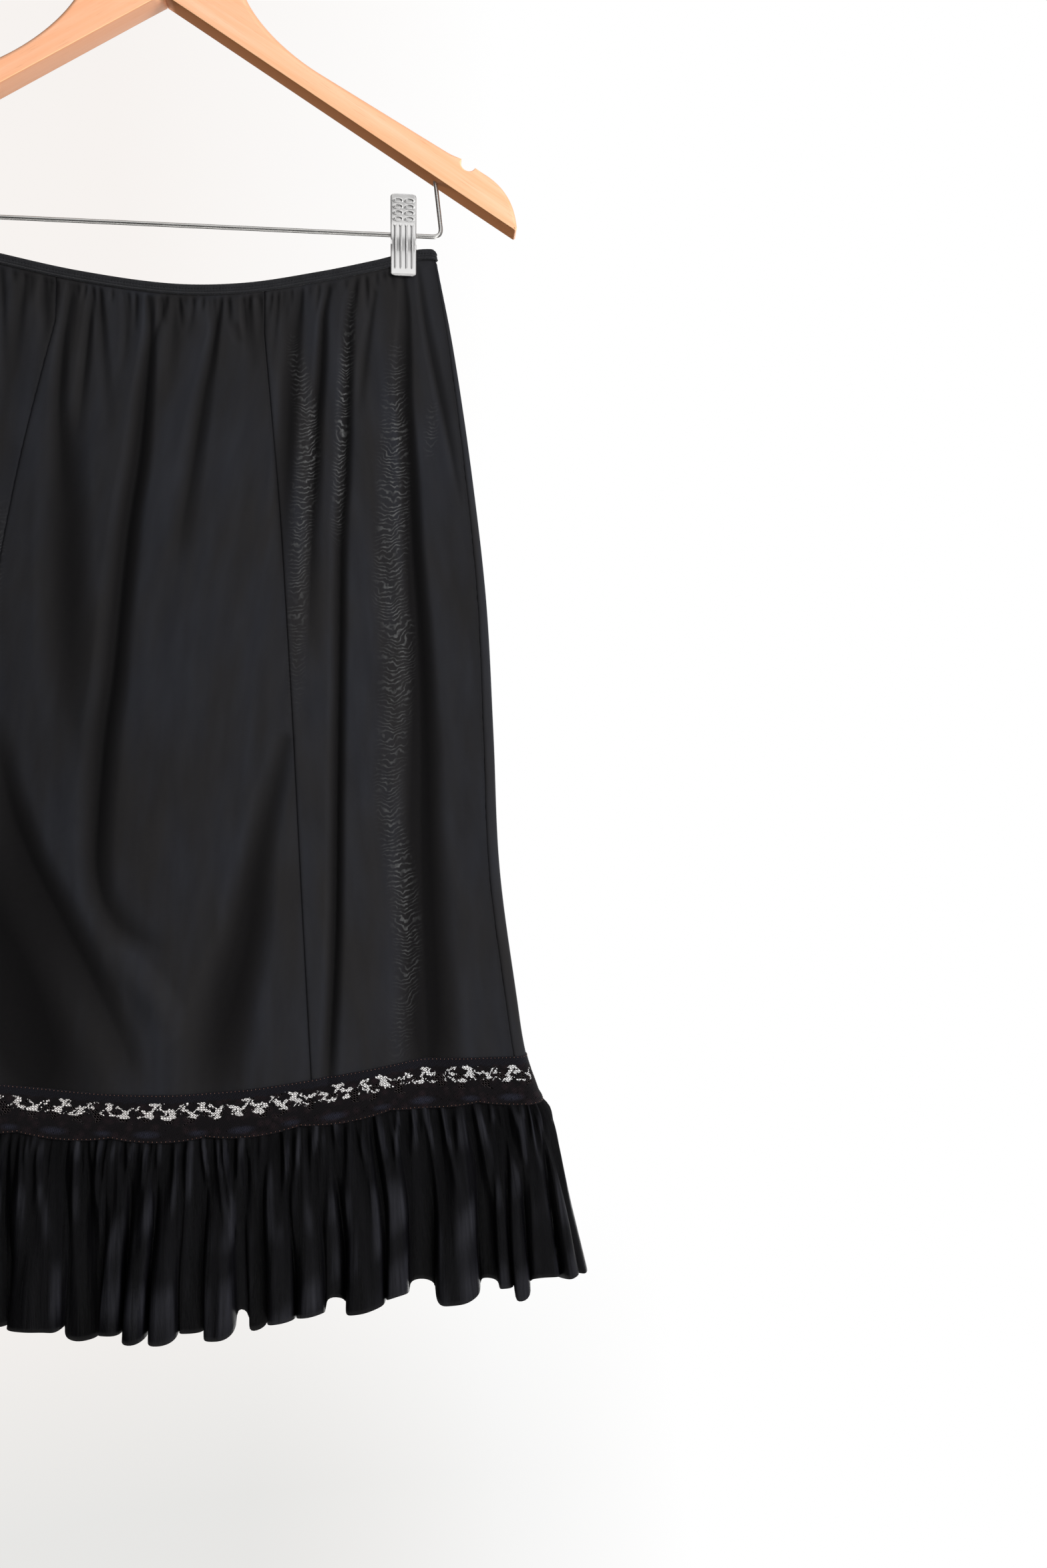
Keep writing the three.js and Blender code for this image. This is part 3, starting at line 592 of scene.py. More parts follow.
# %% Elastic and its piping
elastic, tree, shader = finish("elastic", Roughness=0.7, Specular_IOR_Level=0.25, Sheen_Weight=0.15,
                               Sheen_Roughness=0.4)
place = own_coordinates(tree)
ribs = use(tree, threads, Vector=place, Columns=110.0, Courses=140.0)["Height"]
uneven = use(tree, mottle, Vector=place, Across=16.0, Along=30.0)["Shade"]
base = blend(tree, uneven, (0.0060, 0.0062, 0.0070, 1), (0.0115, 0.0118, 0.0135, 1))
# painted highlight: the tops of the raised ribs are given a lighter colour
drive(tree, shader, Base_Color=blend(tree, ranged(tree, ribs, 0.2, 0.9), base, (0.017, 0.017, 0.020, 1)))
bump(tree, shader, ribs, 0.10)
print("elastic has", len(tree.nodes), "nodes")

# %% Satin
satin, tree, shader = finish("satin", Roughness=0.26, Specular_IOR_Level=0.10, Sheen_Weight=0.0)
place = own_coordinates(tree)
moved = add(tree, "ShaderNodeVectorMath", {0: place, 1: (0.5, 0, 0)}).outputs[0]
# fine streaks: painted highlight and shade of fine creases in the colour, and real changes of roughness and
# relief
fine_streaks = use(tree, streaks, Vector=moved, Fine=1.2, Long=24.0)["Line"]
dull = blend(tree, fine_streaks, (0.0007, 0.0007, 0.0009, 1), (0.0022, 0.0021, 0.0027, 1))
painted_highlight = blend(tree, fine_streaks, (0.0030, 0.0030, 0.0039, 1), (0.0150, 0.0150, 0.0184, 1))
# painted highlight: the crests of the gathers get the brighter colour, on top of the satin's real reflection
drive(tree, shader, Base_Color=blend(tree, field(tree, "crest"), dull, painted_highlight),
      Roughness=ranged(tree, fine_streaks, 0.0, 1.0, 0.24, 0.36))
weave = use(tree, threads, Vector=place, Columns=230.0, Courses=300.0)["Height"]
bump(tree, shader, calc(tree, "MULTIPLY_ADD", fine_streaks, 5.0, weave), 0.035)
print("satin has", len(tree.nodes), "nodes")

# %% Lace
lace, tree, shader = finish("lace", Roughness=0.8, Specular_IOR_Level=0.12, Sheen_Weight=0.06,
                            Sheen_Roughness=0.5)
place = own_coordinates(tree)
slant = add(tree, "ShaderNodeMapping", {"Vector": place, "Rotation": (0, 0, math.radians(28))}).outputs[0]
cords = use(tree, threads, Vector=slant, Columns=95.0, Courses=60.0, Slub=1.4)["Height"]
flowers = add(tree, "ShaderNodeTexVoronoi", {"Vector": place, "Scale": 19.0}, feature="F1")
flowers = flowers.outputs["Distance"]
warm = blend(tree, ranged(tree, flowers, 0.15, 0.55),
             (0.0088, 0.0052, 0.0064, 1), (0.0030, 0.0022, 0.0029, 1))
toned = blend(tree, field(tree, "border"), warm, (0.0050, 0.0048, 0.0072, 1))
toned = blend(tree, field(tree, "lens"), toned, (0.0115, 0.0118, 0.0185, 1))
# painted shade: the low places between the cords turn near black
painted_gap_shade = ranged(tree, cords, -0.7, 0.6, 0.55, 0.0)
drive(tree, shader, Base_Color=blend(tree, painted_gap_shade, toned, (0.0012, 0.0009, 0.0012, 1)))
bump(tree, shader, calc(tree, "MULTIPLY_ADD", flowers, -1.5, cords), 0.12)
print("lace has", len(tree.nodes), "nodes")


# %% Threads
def thread_finish(name, scale, low, high, dark, pale):
    """A thread whose twist shows as small changes of tone."""
    made, tree, shader = finish(name, Roughness=0.6, Specular_IOR_Level=0.3)
    twist = ranged(tree, add(tree, "ShaderNodeTexNoise", {"Scale": scale}).outputs[0], low, high)
    drive(tree, shader, Base_Color=blend(tree, twist, dark, pale))
    return made


net_thread = thread_finish("net_thread", 900.0, 0.0, 1.0, (0.016, 0.012, 0.013, 1), (0.060, 0.048, 0.048, 1))
sewing_thread = thread_finish("sewing_thread", 260.0, 0.35, 0.65,
                              (0.060, 0.030, 0.024, 1), (0.330, 0.175, 0.130, 1))
dark_thread = thread_finish("dark_thread", 260.0, 0.35, 0.65,
                            (0.003, 0.003, 0.004, 1), (0.012, 0.012, 0.015, 1))

# %% [markdown]
# ## Wood and steel
#
# The arms are pale, warm wood under a thin varnish. Its grain could be wrapped on as a flat pattern, but then
# it would bend round the edges. Here each arm stores a direction of its own, and streaks run along it through
# the whole plank, so a rounded edge cuts through the same fibres. The rounded upper edges and the lower faces
# get painted shade, the lower faces most on the right arm, and the crisp lower edge a paler line. The clips
# are brushed plate with painted shade beside their pressed ribs and slots, and the hook, bar and springs are
# drawn wire.

# %% Wood
wood, tree, shader = finish("wood", Roughness=0.42, Specular_IOR_Level=0.4, Coat_Weight=0.12,
                            Coat_Roughness=0.25)
along_grain = add(tree, "ShaderNodeAttribute", attribute_name="grain").outputs["Vector"]
lines = use(tree, streaks, Vector=along_grain, Fine=22.0, Long=0.7)["Line"]
pores = use(tree, streaks, Vector=along_grain, Fine=120.0, Long=6.0)["Line"]
cloud = use(tree, mottle, Vector=along_grain, Across=1.2, Along=5.0)["Shade"]
flame = ranged(tree, use(tree, mottle, Vector=along_grain, Across=0.9, Along=9.0)["Shade"], 0.55, 1.0)
tone = blend(tree, lines, (0.770, 0.360, 0.190, 1), (0.845, 0.470, 0.298, 1))
for share, colour in [(calc(tree, "MULTIPLY", cloud, 0.35), (0.810, 0.400, 0.215, 1)),
                      (calc(tree, "MULTIPLY", flame, 0.5), (0.850, 0.345, 0.175, 1)),
                      # painted shade on the rounded upper edges
                      (calc(tree, "MULTIPLY", field(tree, "rounded"), 0.8), (0.400, 0.205, 0.115, 1)),
                      # a paler line along the crisp lower edge
                      (field(tree, "pale_lower_edge"), (0.800, 0.560, 0.300, 1)),
                      (ranged(tree, pores, 0.0, 0.22, 0.30, 0.0), (0.42, 0.17, 0.07, 1)),
                      # painted shade on the lower faces
                      (field(tree, "under"), (0.330, 0.130, 0.050, 1))]:
    tone = blend(tree, share, tone, colour)
drive(tree, shader, Base_Color=tone)
bump(tree, shader, pores, 0.03)
print("wood has", len(tree.nodes), "nodes")

# %% Steel
steel, tree, shader = finish("steel", Metallic=1.0)
object_place = add(tree, "ShaderNodeTexCoord").outputs["Object"]
rubbed = use(tree, mottle, Vector=object_place, Across=160.0, Along=160.0)["Shade"]
scratches = use(tree, streaks, Vector=object_place, Fine=1500.0, Long=500.0)["Line"]
plate = blend(tree, rubbed, (0.82, 0.81, 0.80, 1), (0.92, 0.91, 0.90, 1))
# painted shade: dark lines beside the pressed ribs and slots
painted_shade_lines = calc(tree, "MULTIPLY", field(tree, "groove"), 0.8)
drive(tree, shader, Base_Color=blend(tree, painted_shade_lines, plate, (0.14, 0.14, 0.14, 1)),
      Roughness=ranged(tree, rubbed, 0.0, 1.0, 0.30, 0.42))
bump(tree, shader, scratches, 0.003)

wire_steel, tree, shader = finish("wire_steel", Metallic=1.0)
object_place = add(tree, "ShaderNodeTexCoord").outputs["Object"]
drawn = use(tree, streaks, Vector=object_place, Fine=1400.0, Long=60.0)["Line"]
drive(tree, shader, Base_Color=blend(tree, drawn, (0.50, 0.49, 0.47, 1), (0.74, 0.73, 0.71, 1)),
      Roughness=ranged(tree, drawn, 0.0, 1.0, 0.20, 0.34))
bump(tree, shader, drawn, 0.006)
print(len(bpy.data.materials), "finishes made")

# %% [markdown]
# ## The knit panels
#
# Four pieces are cut: a centre front between two princess seams, two side fronts, and one back that wraps the
# folded sides. Each is a grid of places between its seams. At a seam the cloth rolls in and its allowance
# turns to the inside, which draws the fine dark line a real seam has. The top slips under the elastic and the
# bottom under the lace.

# %% Where the watered streaks run
WATERED = {
    "front": [fold("81 312 5 0; 87 342 8 0.8; 93 376 10 0.9; 91 409 10 1; 88 443 9 0.8; 86 490 8 0.5;"
                   "85 560 7 0"),
              fold("119 286 4 0.2; 116 324 6 0.8; 113 367 6 0.9; 111 409 6 0.8; 110 450 6 0"),
              fold("148 320 8 0.2; 147.5 374 12 0.9; 147 425 13 1; 145 476 13 1; 150 509 14 1;"
                   "148 560 13 0.7; 144 611 11 0.6; 153 666 12 0.8; 156 717 11 0.5; 150 775 10 0.1"),
              fold("170.5 350 4 0; 169.5 373 6 0.5; 168.5 392 5 0"),
              fold("-94 420 8 0; -99 470 9 0.6; -104 540 10 0.7; -108 610 9 0")],
    "back": [fold("-70 380 8 0; -72 450 11 0.7; -70 520 12 0.8; -66 590 11 0"),
             fold("122 420 8 0; 126 500 12 0.8; 128 600 13 0.9; 132 700 12 0.3; 132 740 8 0")]}


def watered_fields(points, layer):
    """How strongly the streaks show at each place and how far it is from their middle lines."""
    x, drop = points[..., 0], -points[..., 2]
    strength, beside = np.zeros(x.shape), np.zeros(x.shape)
    for path in WATERED[layer]:
        shown, side = stroke(path, x, drop)
        beside = np.where(shown > strength, side, beside)
        strength = np.maximum(strength, shown)
    return strength, beside


# %% Panels
KNIT_WALL = 0.45
SEAM_ROLL = 1.8          # cloth this near a seam dips to it
SEAM_DIP = 0.22
ALLOWANCE = 1.7          # how far the turned edge reaches inside
PUCKER = 0.16            # ripples along the seam
PUCKER_STEP, PUCKER_FADE = 6.1, 2.5
SEAM_SHADE = 1.3         # half width of the dark line
UNDER_BAND, UNDER_LACE = 3.5, 4.5    # how far a panel reaches under its neighbours
TUCK = 0.8               # how far it slips inwards under the band
GATHERED = 40            # the gathers' height, where the levels are closer together
TEXTURE_SHIFT = 37.0     # moves each panel's own coordinates, so that no two show the same patch


def panel_drops(rows):
    """Levels from under the band to under the lace."""
    upper = rows // 6
    return np.concatenate([np.linspace(PANEL_TOP - UNDER_BAND, PANEL_TOP + GATHERED, upper),
                           np.linspace(PANEL_TOP + GATHERED + 3, LACE_TOP + UNDER_LACE, rows - upper)])


def plain_stand(around, drop):
    """How far the unfolded skirt stands from its middle: what is left is the depth of the folds."""
    quarter, t, edge, stand = plain_form(around, drop)
    return np.where(quarter % 2 == 0, stand, edge * np.abs(np.sin((t - 0.5) * np.pi)))


def panel(name, node, start, end, columns, rows, layer):
    """A panel between two seams, given as places around that may change with the drop."""
    share = np.concatenate([[0], np.linspace(0, 1, columns), [1]])
    share, drop = np.meshgrid(share, panel_drops(rows), indexing="ij")
    start, end = start(drop), end(drop)
    around = start + (end - start) * share
    length = run_of(skirt_point(around, drop))
    near = np.minimum(length, length[-1] - length)
    ripple = np.sin(drop / PUCKER_STEP * math.tau + 1.3 * np.sin(drop / 17)) * np.exp(-near / PUCKER_FADE)
    out = -SEAM_DIP * np.clip(1 - near / SEAM_ROLL, 0, 1) ** 2 + PUCKER * ripple
    out -= TUCK * (1 - smooth((drop - PANEL_TOP + 1.6) / 2.2))
    out[[0, -1]] -= ALLOWANCE
    points = skirt_point(around, drop, out)
    # how deep each place lies in its folds, from which the knit paints shade in the valleys
    depth = np.abs(points[..., 1]) - plain_stand(around, drop)
    moire, beside = watered_fields(points, layer)
    uv = np.stack([length + TEXTURE_SHIFT * len(name), drop], axis=-1) * UV_SCALE
    fields = {"depth": depth, "moire": moire, "beside": beside, "seam": np.exp(-((near / SEAM_SHADE) ** 2))}
    piece = mesh_piece(name, points, grid_faces(*drop.shape), uv, fields)
    thicken(piece, KNIT_WALL)
    settle(piece, knit, "knit", node)
    print(name, "cloth", round(cloth_area(points), 4), "m2")
    return piece, points


# %% The four panels
def left_seam_place(drop):
    """The left seam's place around at a level."""
    return front_place(seam_left(drop), drop)


def right_seam_place(drop):
    """The right seam's place around at a level."""
    return front_place(seam_right(drop), drop)


def straight(place):
    """A panel's edge that stays at one place at every level."""
    return lambda drop: np.full(np.shape(drop), float(place))


panels = {}
for name, node, start, end, columns, rows, layer in [
        ("centre_front_panel", "front_centre", left_seam_place, right_seam_place, 140, 170, "front"),
        ("left_side_panel", "front_side_left", straight(0), left_seam_place, 80, 150, "front"),
        ("right_side_panel", "front_side_right", right_seam_place, straight(1), 110, 170, "front"),
        ("back_panel", "back", straight(1), straight(4), 176, 110, "back")]:
    panels[name] = panel(name, node, start, end, columns, rows, layer)

# %% [markdown]
# ## The waistband
#
# A narrow folded elastic: a flat upper part with fine upright ribs, a stitched groove along its middle, and a
# small piping along the lower edge. One outline, drawn across the band, is swept right round the waist, which
# keeps ribs, groove and piping parallel where the band sags and curls. Its upper edge has the little loops
# that such elastic is finished with, raised only in places. The stitches are real raised threads.

# %% The band's outline
BAND_OUTLINE = table("down out", """
    0.00  0.10
    0.20  0.55
    0.90  0.85
    2.40  0.82
    3.05  0.50
    3.70  0.82
    4.75  0.84
    5.10  0.42
    5.45  0.95
    6.05  1.25
    6.65  0.95
    6.95  0.30
    6.80 -0.55
    0.15 -0.55""")
BAND_MIDDLE = BAND_TOP + 3
BAND_STEP = 1.25         # one upright rib for each two steps
CURL, CURL_FROM, CURL_OVER = 0.9, 150, 24    # the band's ends ride up on the folded sides
END_REACH, END_DROP, END_FADE = 3.0, 1.9, 0.27    # their top corner is rounded down, the bottom is not
PICOT_HEIGHT, RIB_HEIGHT = 0.45, 0.05


def ring_places(step, drop):
    """Places all round the skirt about one step apart at a level, none of them doubled."""
    fine = np.linspace(0, 4, 8001)
    length = run_of(skirt_point(fine, drop))
    count = int(length[-1] / step)
    return np.interp(np.arange(count) * length[-1] / count, length, fine), length[-1]


def from_middle(place):
    """Distance across from the skirt's centre line, at the band."""
    return np.abs(skirt_point(place, BAND_MIDDLE)[..., 0] - CENTRE)


def curl(distance):
    """How much higher the band lies towards its ends."""
    return CURL * smooth((distance - CURL_FROM) / CURL_OVER)


print(len(BAND_OUTLINE["down"]), "points across the band")

# %% Waistband
places, waist_length = ring_places(BAND_STEP, BAND_MIDDLE)
around, index = np.meshgrid(places, np.arange(len(BAND_OUTLINE["down"])), indexing="ij")
down, out = BAND_OUTLINE["down"][index], BAND_OUTLINE["out"][index]
column_number = np.arange(len(places))[:, None]
shown = smooth((np.sin(column_number * 0.043) + np.sin(column_number * 0.019 + 2) - 0.3) / 0.6)
picot = PICOT_HEIGHT * shown * (column_number % 2) * (index <= 1)
rib_out = RIB_HEIGHT * np.cos(column_number * math.pi) * ((index > 0) & (index < 12))
distance = from_middle(around)
end_corner = np.clip(1 - (distance.max() - distance) / END_REACH, 0, 1) ** 2
band_drop = BAND_TOP + down - picot - curl(distance) + end_corner * (END_DROP - END_FADE * down)
points = skirt_point(around, band_drop, out + rib_out)
outline_run = run_of(np.column_stack([BAND_OUTLINE["down"], BAND_OUTLINE["out"]]))
uv = np.stack([column_number * BAND_STEP + 0 * around, outline_run[index]], axis=-1) * UV_SCALE
waistband = mesh_piece("waist_elastic", points, grid_faces(*around.shape, ring=True, closed=True), uv)
settle(waistband, elastic, "elastic", "waistband")
print("waist measures", round(waist_length), "mm round")


# %% Stitches
def stitch_row(name, places, thread, length, radius, slot):
    """Small raised stitches, each a lens lying along the row. 'places' holds a middle and a direction."""
    ring = [(math.cos(a), math.sin(a)) for a in np.linspace(0, math.tau, 6, endpoint=False)]
    points, faces = [], []
    for middle, along in places:
        along = along / np.linalg.norm(along)
        flat = np.cross(along, (0.0, 1.0, 0.0))
        flat /= np.linalg.norm(flat)
        deep = np.cross(along, flat)
        first = len(points)
        points.append(middle - along * length / 2)
        points += [middle + radius * (c * flat + s * deep) for c, s in ring]
        points.append(middle + along * length / 2)
        for n in range(6):
            m = (n + 1) % 6
            faces += [(first, first + 1 + m, first + 1 + n), (first + 7, first + 1 + n, first + 1 + m)]
    return settle(mesh_piece(name, points, faces), thread, slot)


def along_row(drop, pitch, out):
    """Middles and directions of stitches all round the skirt, where 'drop' gives each place's level."""
    fine = np.linspace(0, 4, 6000)
    line = skirt_point(fine, drop(fine), out)
    length = run_of(line)
    at = np.arange(pitch / 2, length[-1], pitch)
    middle = np.stack([np.interp(at, length, line[:, axis]) for axis in range(3)], axis=-1)
    ahead = np.stack([np.interp(at + 0.3, length, line[:, axis]) for axis in range(3)], axis=-1)
    return [(m, a - m) for m, a in zip(middle, ahead) if np.linalg.norm(a - m) > 1e-6]


def groove_drop(place):
    """The stitched groove's level, which follows the band up at its ends."""
    return BAND_TOP + 3.05 - curl(from_middle(place))


waist_stitches = stitch_row("waist_stitches", along_row(groove_drop, pitch=1.9, out=0.62), dark_thread,
                            length=1.1, radius=0.26, slot="elastic")
print(len(waist_stitches.data.polygons) // 12, "stitches round the waist")

# %% [markdown]
# ## The lace
#
# The band is a bought lace: a solid woven border above, an open stretch of net with flowers, stems and leaves
# lying across it, and a dense scalloped edge over the ruffle. A generic floral repeat is charted here from
# ovals and tapered stems. Where the chart is above zero there is cloth; marching squares cut the sheet along
# the zero line, so the openings are real and the wall shows through them. Fine net is then laid across.

# %% The chart of one repeat
REPEAT = 56.0
LACE_EDGE = 31.0         # lowest place of the scalloped edge below the lace's top


def oval(s, t, middle, size, turn=0.0):
    """Above zero inside an oval: about the distance to its edge."""
    c, n = math.cos(math.radians(turn)), math.sin(math.radians(turn))
    ds, dt = s - middle[0], t - middle[1]
    across, along = (ds * c + dt * n) / size[0], (dt * c - ds * n) / size[1]
    return (1 - np.hypot(across, along)) * min(size)


def stem(s, t, start, end, width_start, width_end):
    """Above zero inside a tapered stem with round ends."""
    a, b = np.array(start, float), np.array(end, float)
    along = b - a
    share = np.clip(((s - a[0]) * along[0] + (t - a[1]) * along[1]) / (along @ along), 0, 1)
    distance = np.hypot(s - a[0] - share * along[0], t - a[1] - share * along[1])
    return width_start + share * (width_end - width_start) - distance


# %% The flowers
MOTIFS = table("s t wide high turn", """
     0.5  6.8  4.4  2.9   10
    13.0  8.0  3.4  3.0  -15
    27.0  6.6  5.2  3.3    8
    41.0  8.2  3.6  2.8  -10
    50.5  6.2  2.6  2.0    0
     6.5 17.0  4.2  3.2  -10
    20.0 17.8  5.0  3.4   12
    34.0 16.8  4.0  3.4   -8
    47.5 17.6  5.2  3.6   10
     6.4 11.4  2.0  1.2   20
    20.4 12.2  2.6  1.5  -20
    33.4 10.8  1.8  1.2   30
    44.8 12.6  1.9  1.2  -25
    53.0 11.6  2.3  1.4   15
    27.0 12.6  1.2  0.9    0
    38.6 13.2  1.1  0.8    0
    11.6 13.6  1.0  0.7   30""")


def motifs(s, t):
    """Buds under the border, petals above the scallops, flowers between them, and stems that tie them."""
    parts = [stem(s, t, (7.6, 8.0), (3.2, 13.8), 0.6, 0.8), stem(s, t, (20.4, 7.6), (17.4, 14.6), 0.5, 0.8),
             stem(s, t, (36.0, 7.0), (31.4, 13.8), 0.7, 0.6), stem(s, t, (50.0, 8.0), (52.6, 15.0), 0.5, 0.7)]
    for place in zip(*MOTIFS.values()):
        parts.append(oval(s, t, place[0:2], place[2:4], place[4]))
    return np.maximum.reduce(parts)


# %% Border, edge and the whole chart
EYELET_ROWS = ((23.2, 6.4), (26.0, 4.9))    # below the lace's top, and apart
EYELET_RADIUS = 0.42


def border_low(s):
    """Lower edge of the woven border."""
    return 5.2 + 0.4 * np.sin(s * math.tau / 9.5) + 0.3 * np.sin(s * math.tau / 4.1 + 1)


def scallop(s):
    """The lace's lower edge."""
    return 27.8 + 2.8 * np.abs(np.sin(s * math.pi / REPEAT + 0.4)) ** 0.8


def lace_chart(s, t, shift, fullness):
    """Above zero where there is cloth. More fullness fattens the motifs and narrows the open stretch."""
    along = s - shift
    local = np.mod(along, REPEAT)
    bent_s = local + 1.0 * np.sin(t * 1.1 + along * 0.45) + 0.5 * np.sin(t * 2.7 - along * 0.9)
    bent_t = t + 0.9 * np.sin(along * 0.8 + 1) + 0.5 * np.sin(along * 2.2 + t)
    shape = np.maximum.reduce([motifs(bent_s + wrap, bent_t) for wrap in (-REPEAT, 0, REPEAT)]) + fullness
    middle = 12.2 + 1.0 * np.sin(along * math.tau / 28 + 0.6) + 0.5 * np.sin(s * math.tau / 9.7)
    reach = 6.2 - 2.6 * fullness + 0.8 * np.sin(s * math.tau / 61) + 0.5 * np.sin(s * math.tau / 19 + 1)
    shape = np.maximum(shape, np.abs(t - middle) - reach)
    shape = np.maximum(shape, border_low(s) - t)
    ragged = np.sin(s * 2.1 + 1.6 * np.sin(t)) * np.sin(t * 2.3 + 1.2 * np.sin(s * 0.7))
    shape = shape + 0.45 * ragged + 0.4 * np.sin(s * 3.3 + 2.0 * np.sin(t * 1.3)) * np.sin(t * 3.1 + s)
    for row, pitch in EYELET_ROWS:
        hole = np.mod(along + row, pitch) - pitch / 2
        shape = np.minimum(shape, np.hypot(hole, t - row - 0.7 * np.sin(along * 0.9)) - EYELET_RADIUS)
    return np.minimum(shape, scallop(along) - t)


repeat = lace_chart(*np.meshgrid(np.linspace(0, REPEAT, 112), np.linspace(0, LACE_EDGE, 62)), 0, 0)
print("cloth fills", round(100 * (repeat > 0).mean()), "per cent of a repeat")


# %% Cutting a sheet along the chart's zero line
def cut_sheet(value, s, t):
    """Points (s, t) and faces of the part of a grid where the value is above zero."""
    ns, nt = value.shape
    grid_s, grid_t = np.meshgrid(s, t, indexing="ij")
    share = lambda a, b: np.clip(a / np.where(a == b, 1, a - b), 0.08, 0.92)
    level_share, down_share = share(value[:-1], value[1:]), share(value[:, :-1], value[:, 1:])
    level_s = grid_s[:-1] + level_share * (grid_s[1:] - grid_s[:-1])
    down_t = grid_t[:, :-1] + down_share * (grid_t[:, 1:] - grid_t[:, :-1])
    points = np.concatenate([np.stack([grid_s, grid_t], -1).reshape(-1, 2),
                             np.stack([level_s, grid_t[:-1]], -1).reshape(-1, 2),
                             np.stack([grid_s[:, :-1], down_t], -1).reshape(-1, 2)])
    i, j = np.meshgrid(np.arange(ns - 1), np.arange(nt - 1), indexing="ij")
    i, j = i.ravel(), j.ravel()
    corner = [i * nt + j, (i + 1) * nt + j, (i + 1) * nt + j + 1, i * nt + j + 1]
    level_at = lambda a, b: ns * nt + a * nt + b
    down_at = lambda a, b: ns * nt + (ns - 1) * nt + a * (nt - 1) + b
    edge = [level_at(i, j), down_at(i + 1, j), level_at(i, j + 1), down_at(i, j)]
    inside = [value.ravel()[c] > 0 for c in corner]
    case = sum(flag.astype(int) << n for n, flag in enumerate(inside))
    faces = []
    for kind in range(1, 16):
        picked = case == kind
        walk = []
        for n in range(4):
            here, there = bool(kind >> n & 1), bool(kind >> (n + 1) % 4 & 1)
            if here:
                walk.append(corner[n][picked])
            if here != there:
                walk.append(edge[n][picked])
        if picked.any():
            faces += np.stack(walk[::-1], axis=-1).tolist()
    used = np.unique(np.concatenate([np.ravel(face) for face in faces]))
    renumber = np.zeros(len(points), int)
    renumber[used] = np.arange(len(used))
    return points[used], [[int(renumber[v]) for v in face] for face in faces]


# %% Net
NET_PITCH = 1.75
NET_RADIUS = 0.15
NET_LEAN = 0.45          # the net's cells lean along the band
NET_TOP, NET_LOW = 4, 22     # the stretch that holds net, below the lace's top
NET_DEPTH = 0.2          # how far it lies behind the lace's face
NET_OVERLAP = 0.35       # how far its threads reach into the cloth


def net_edges(length, shift, fullness):
    """Both ends (s, t) of each thread of a leaning honeycomb, kept where the lace is open."""
    side = NET_PITCH / math.sqrt(3)
    rows = np.arange(int(NET_TOP / (1.5 * side)), int(NET_LOW / (1.5 * side)) + 1)
    columns = np.arange(int(length / NET_PITCH))
    column, row = np.meshgrid(columns, rows, indexing="ij")
    s = (column + 0.5 * (row % 2)) * NET_PITCH
    t = row * 1.5 * side
    upper, lower = np.stack([s, t - side / 2], -1), np.stack([s, t + side / 2], -1)
    edges = [np.stack([upper, lower], -2)]
    for step in (-0.5, 0.5):
        below = np.stack([s + step * NET_PITCH, t + side], -1)
        edges.append(np.stack([lower, below], -2))
    edges = np.concatenate([edge.reshape(-1, 2, 2) for edge in edges])
    edges[..., 0] += NET_LEAN * edges[..., 1]
    middle = edges.mean(axis=1)
    open_here = lace_chart(middle[:, 0], middle[:, 1], shift, fullness) < NET_OVERLAP
    inside = (edges[..., 0].min(axis=1) > 0) & (edges[..., 0].max(axis=1) < length)
    return edges[open_here & inside & (middle[:, 1] < NET_LOW)]


def thread_mesh(name, first, last, radius):
    """Three-sided threads between pairs of points."""
    along = last - first
    along /= np.linalg.norm(along, axis=-1, keepdims=True)
    deep = np.array((0.0, 1.0, 0.0))
    flat = np.cross(along, deep)
    flat /= np.linalg.norm(flat, axis=-1, keepdims=True)
    turns = [(math.cos(a), math.sin(a)) for a in (0.5, 0.5 + math.tau / 3, 0.5 + 2 * math.tau / 3)]
    rings = [end + sign * radius * along + radius * (c * flat + n * deep)
             for end, sign in ((first, -1), (last, 1)) for c, n in turns]
    points = np.stack(rings, axis=1).reshape(-1, 3)
    start = np.arange(len(first))[:, None] * 6
    sides = [start + np.array([[n, (n + 1) % 3, (n + 1) % 3 + 3, n + 3]]) for n in range(3)]
    return mesh_piece(name, points, np.concatenate(sides))


# %% Lace bands
LACE_OUT = 0.45          # the lace lies on the panels
LACE_WALL = 0.35
EDGE_PITCH = 2.6         # between the stitches of the lower edge
EDGE_INSET = 0.8
SIDE_MIDDLE = 0.5        # each band ends in the middle of a folded side


def ruffle_room(t):
    """The lace rides up over the first gathers of the ruffle."""
    return 1.1 * smooth((t - 23) / 5)


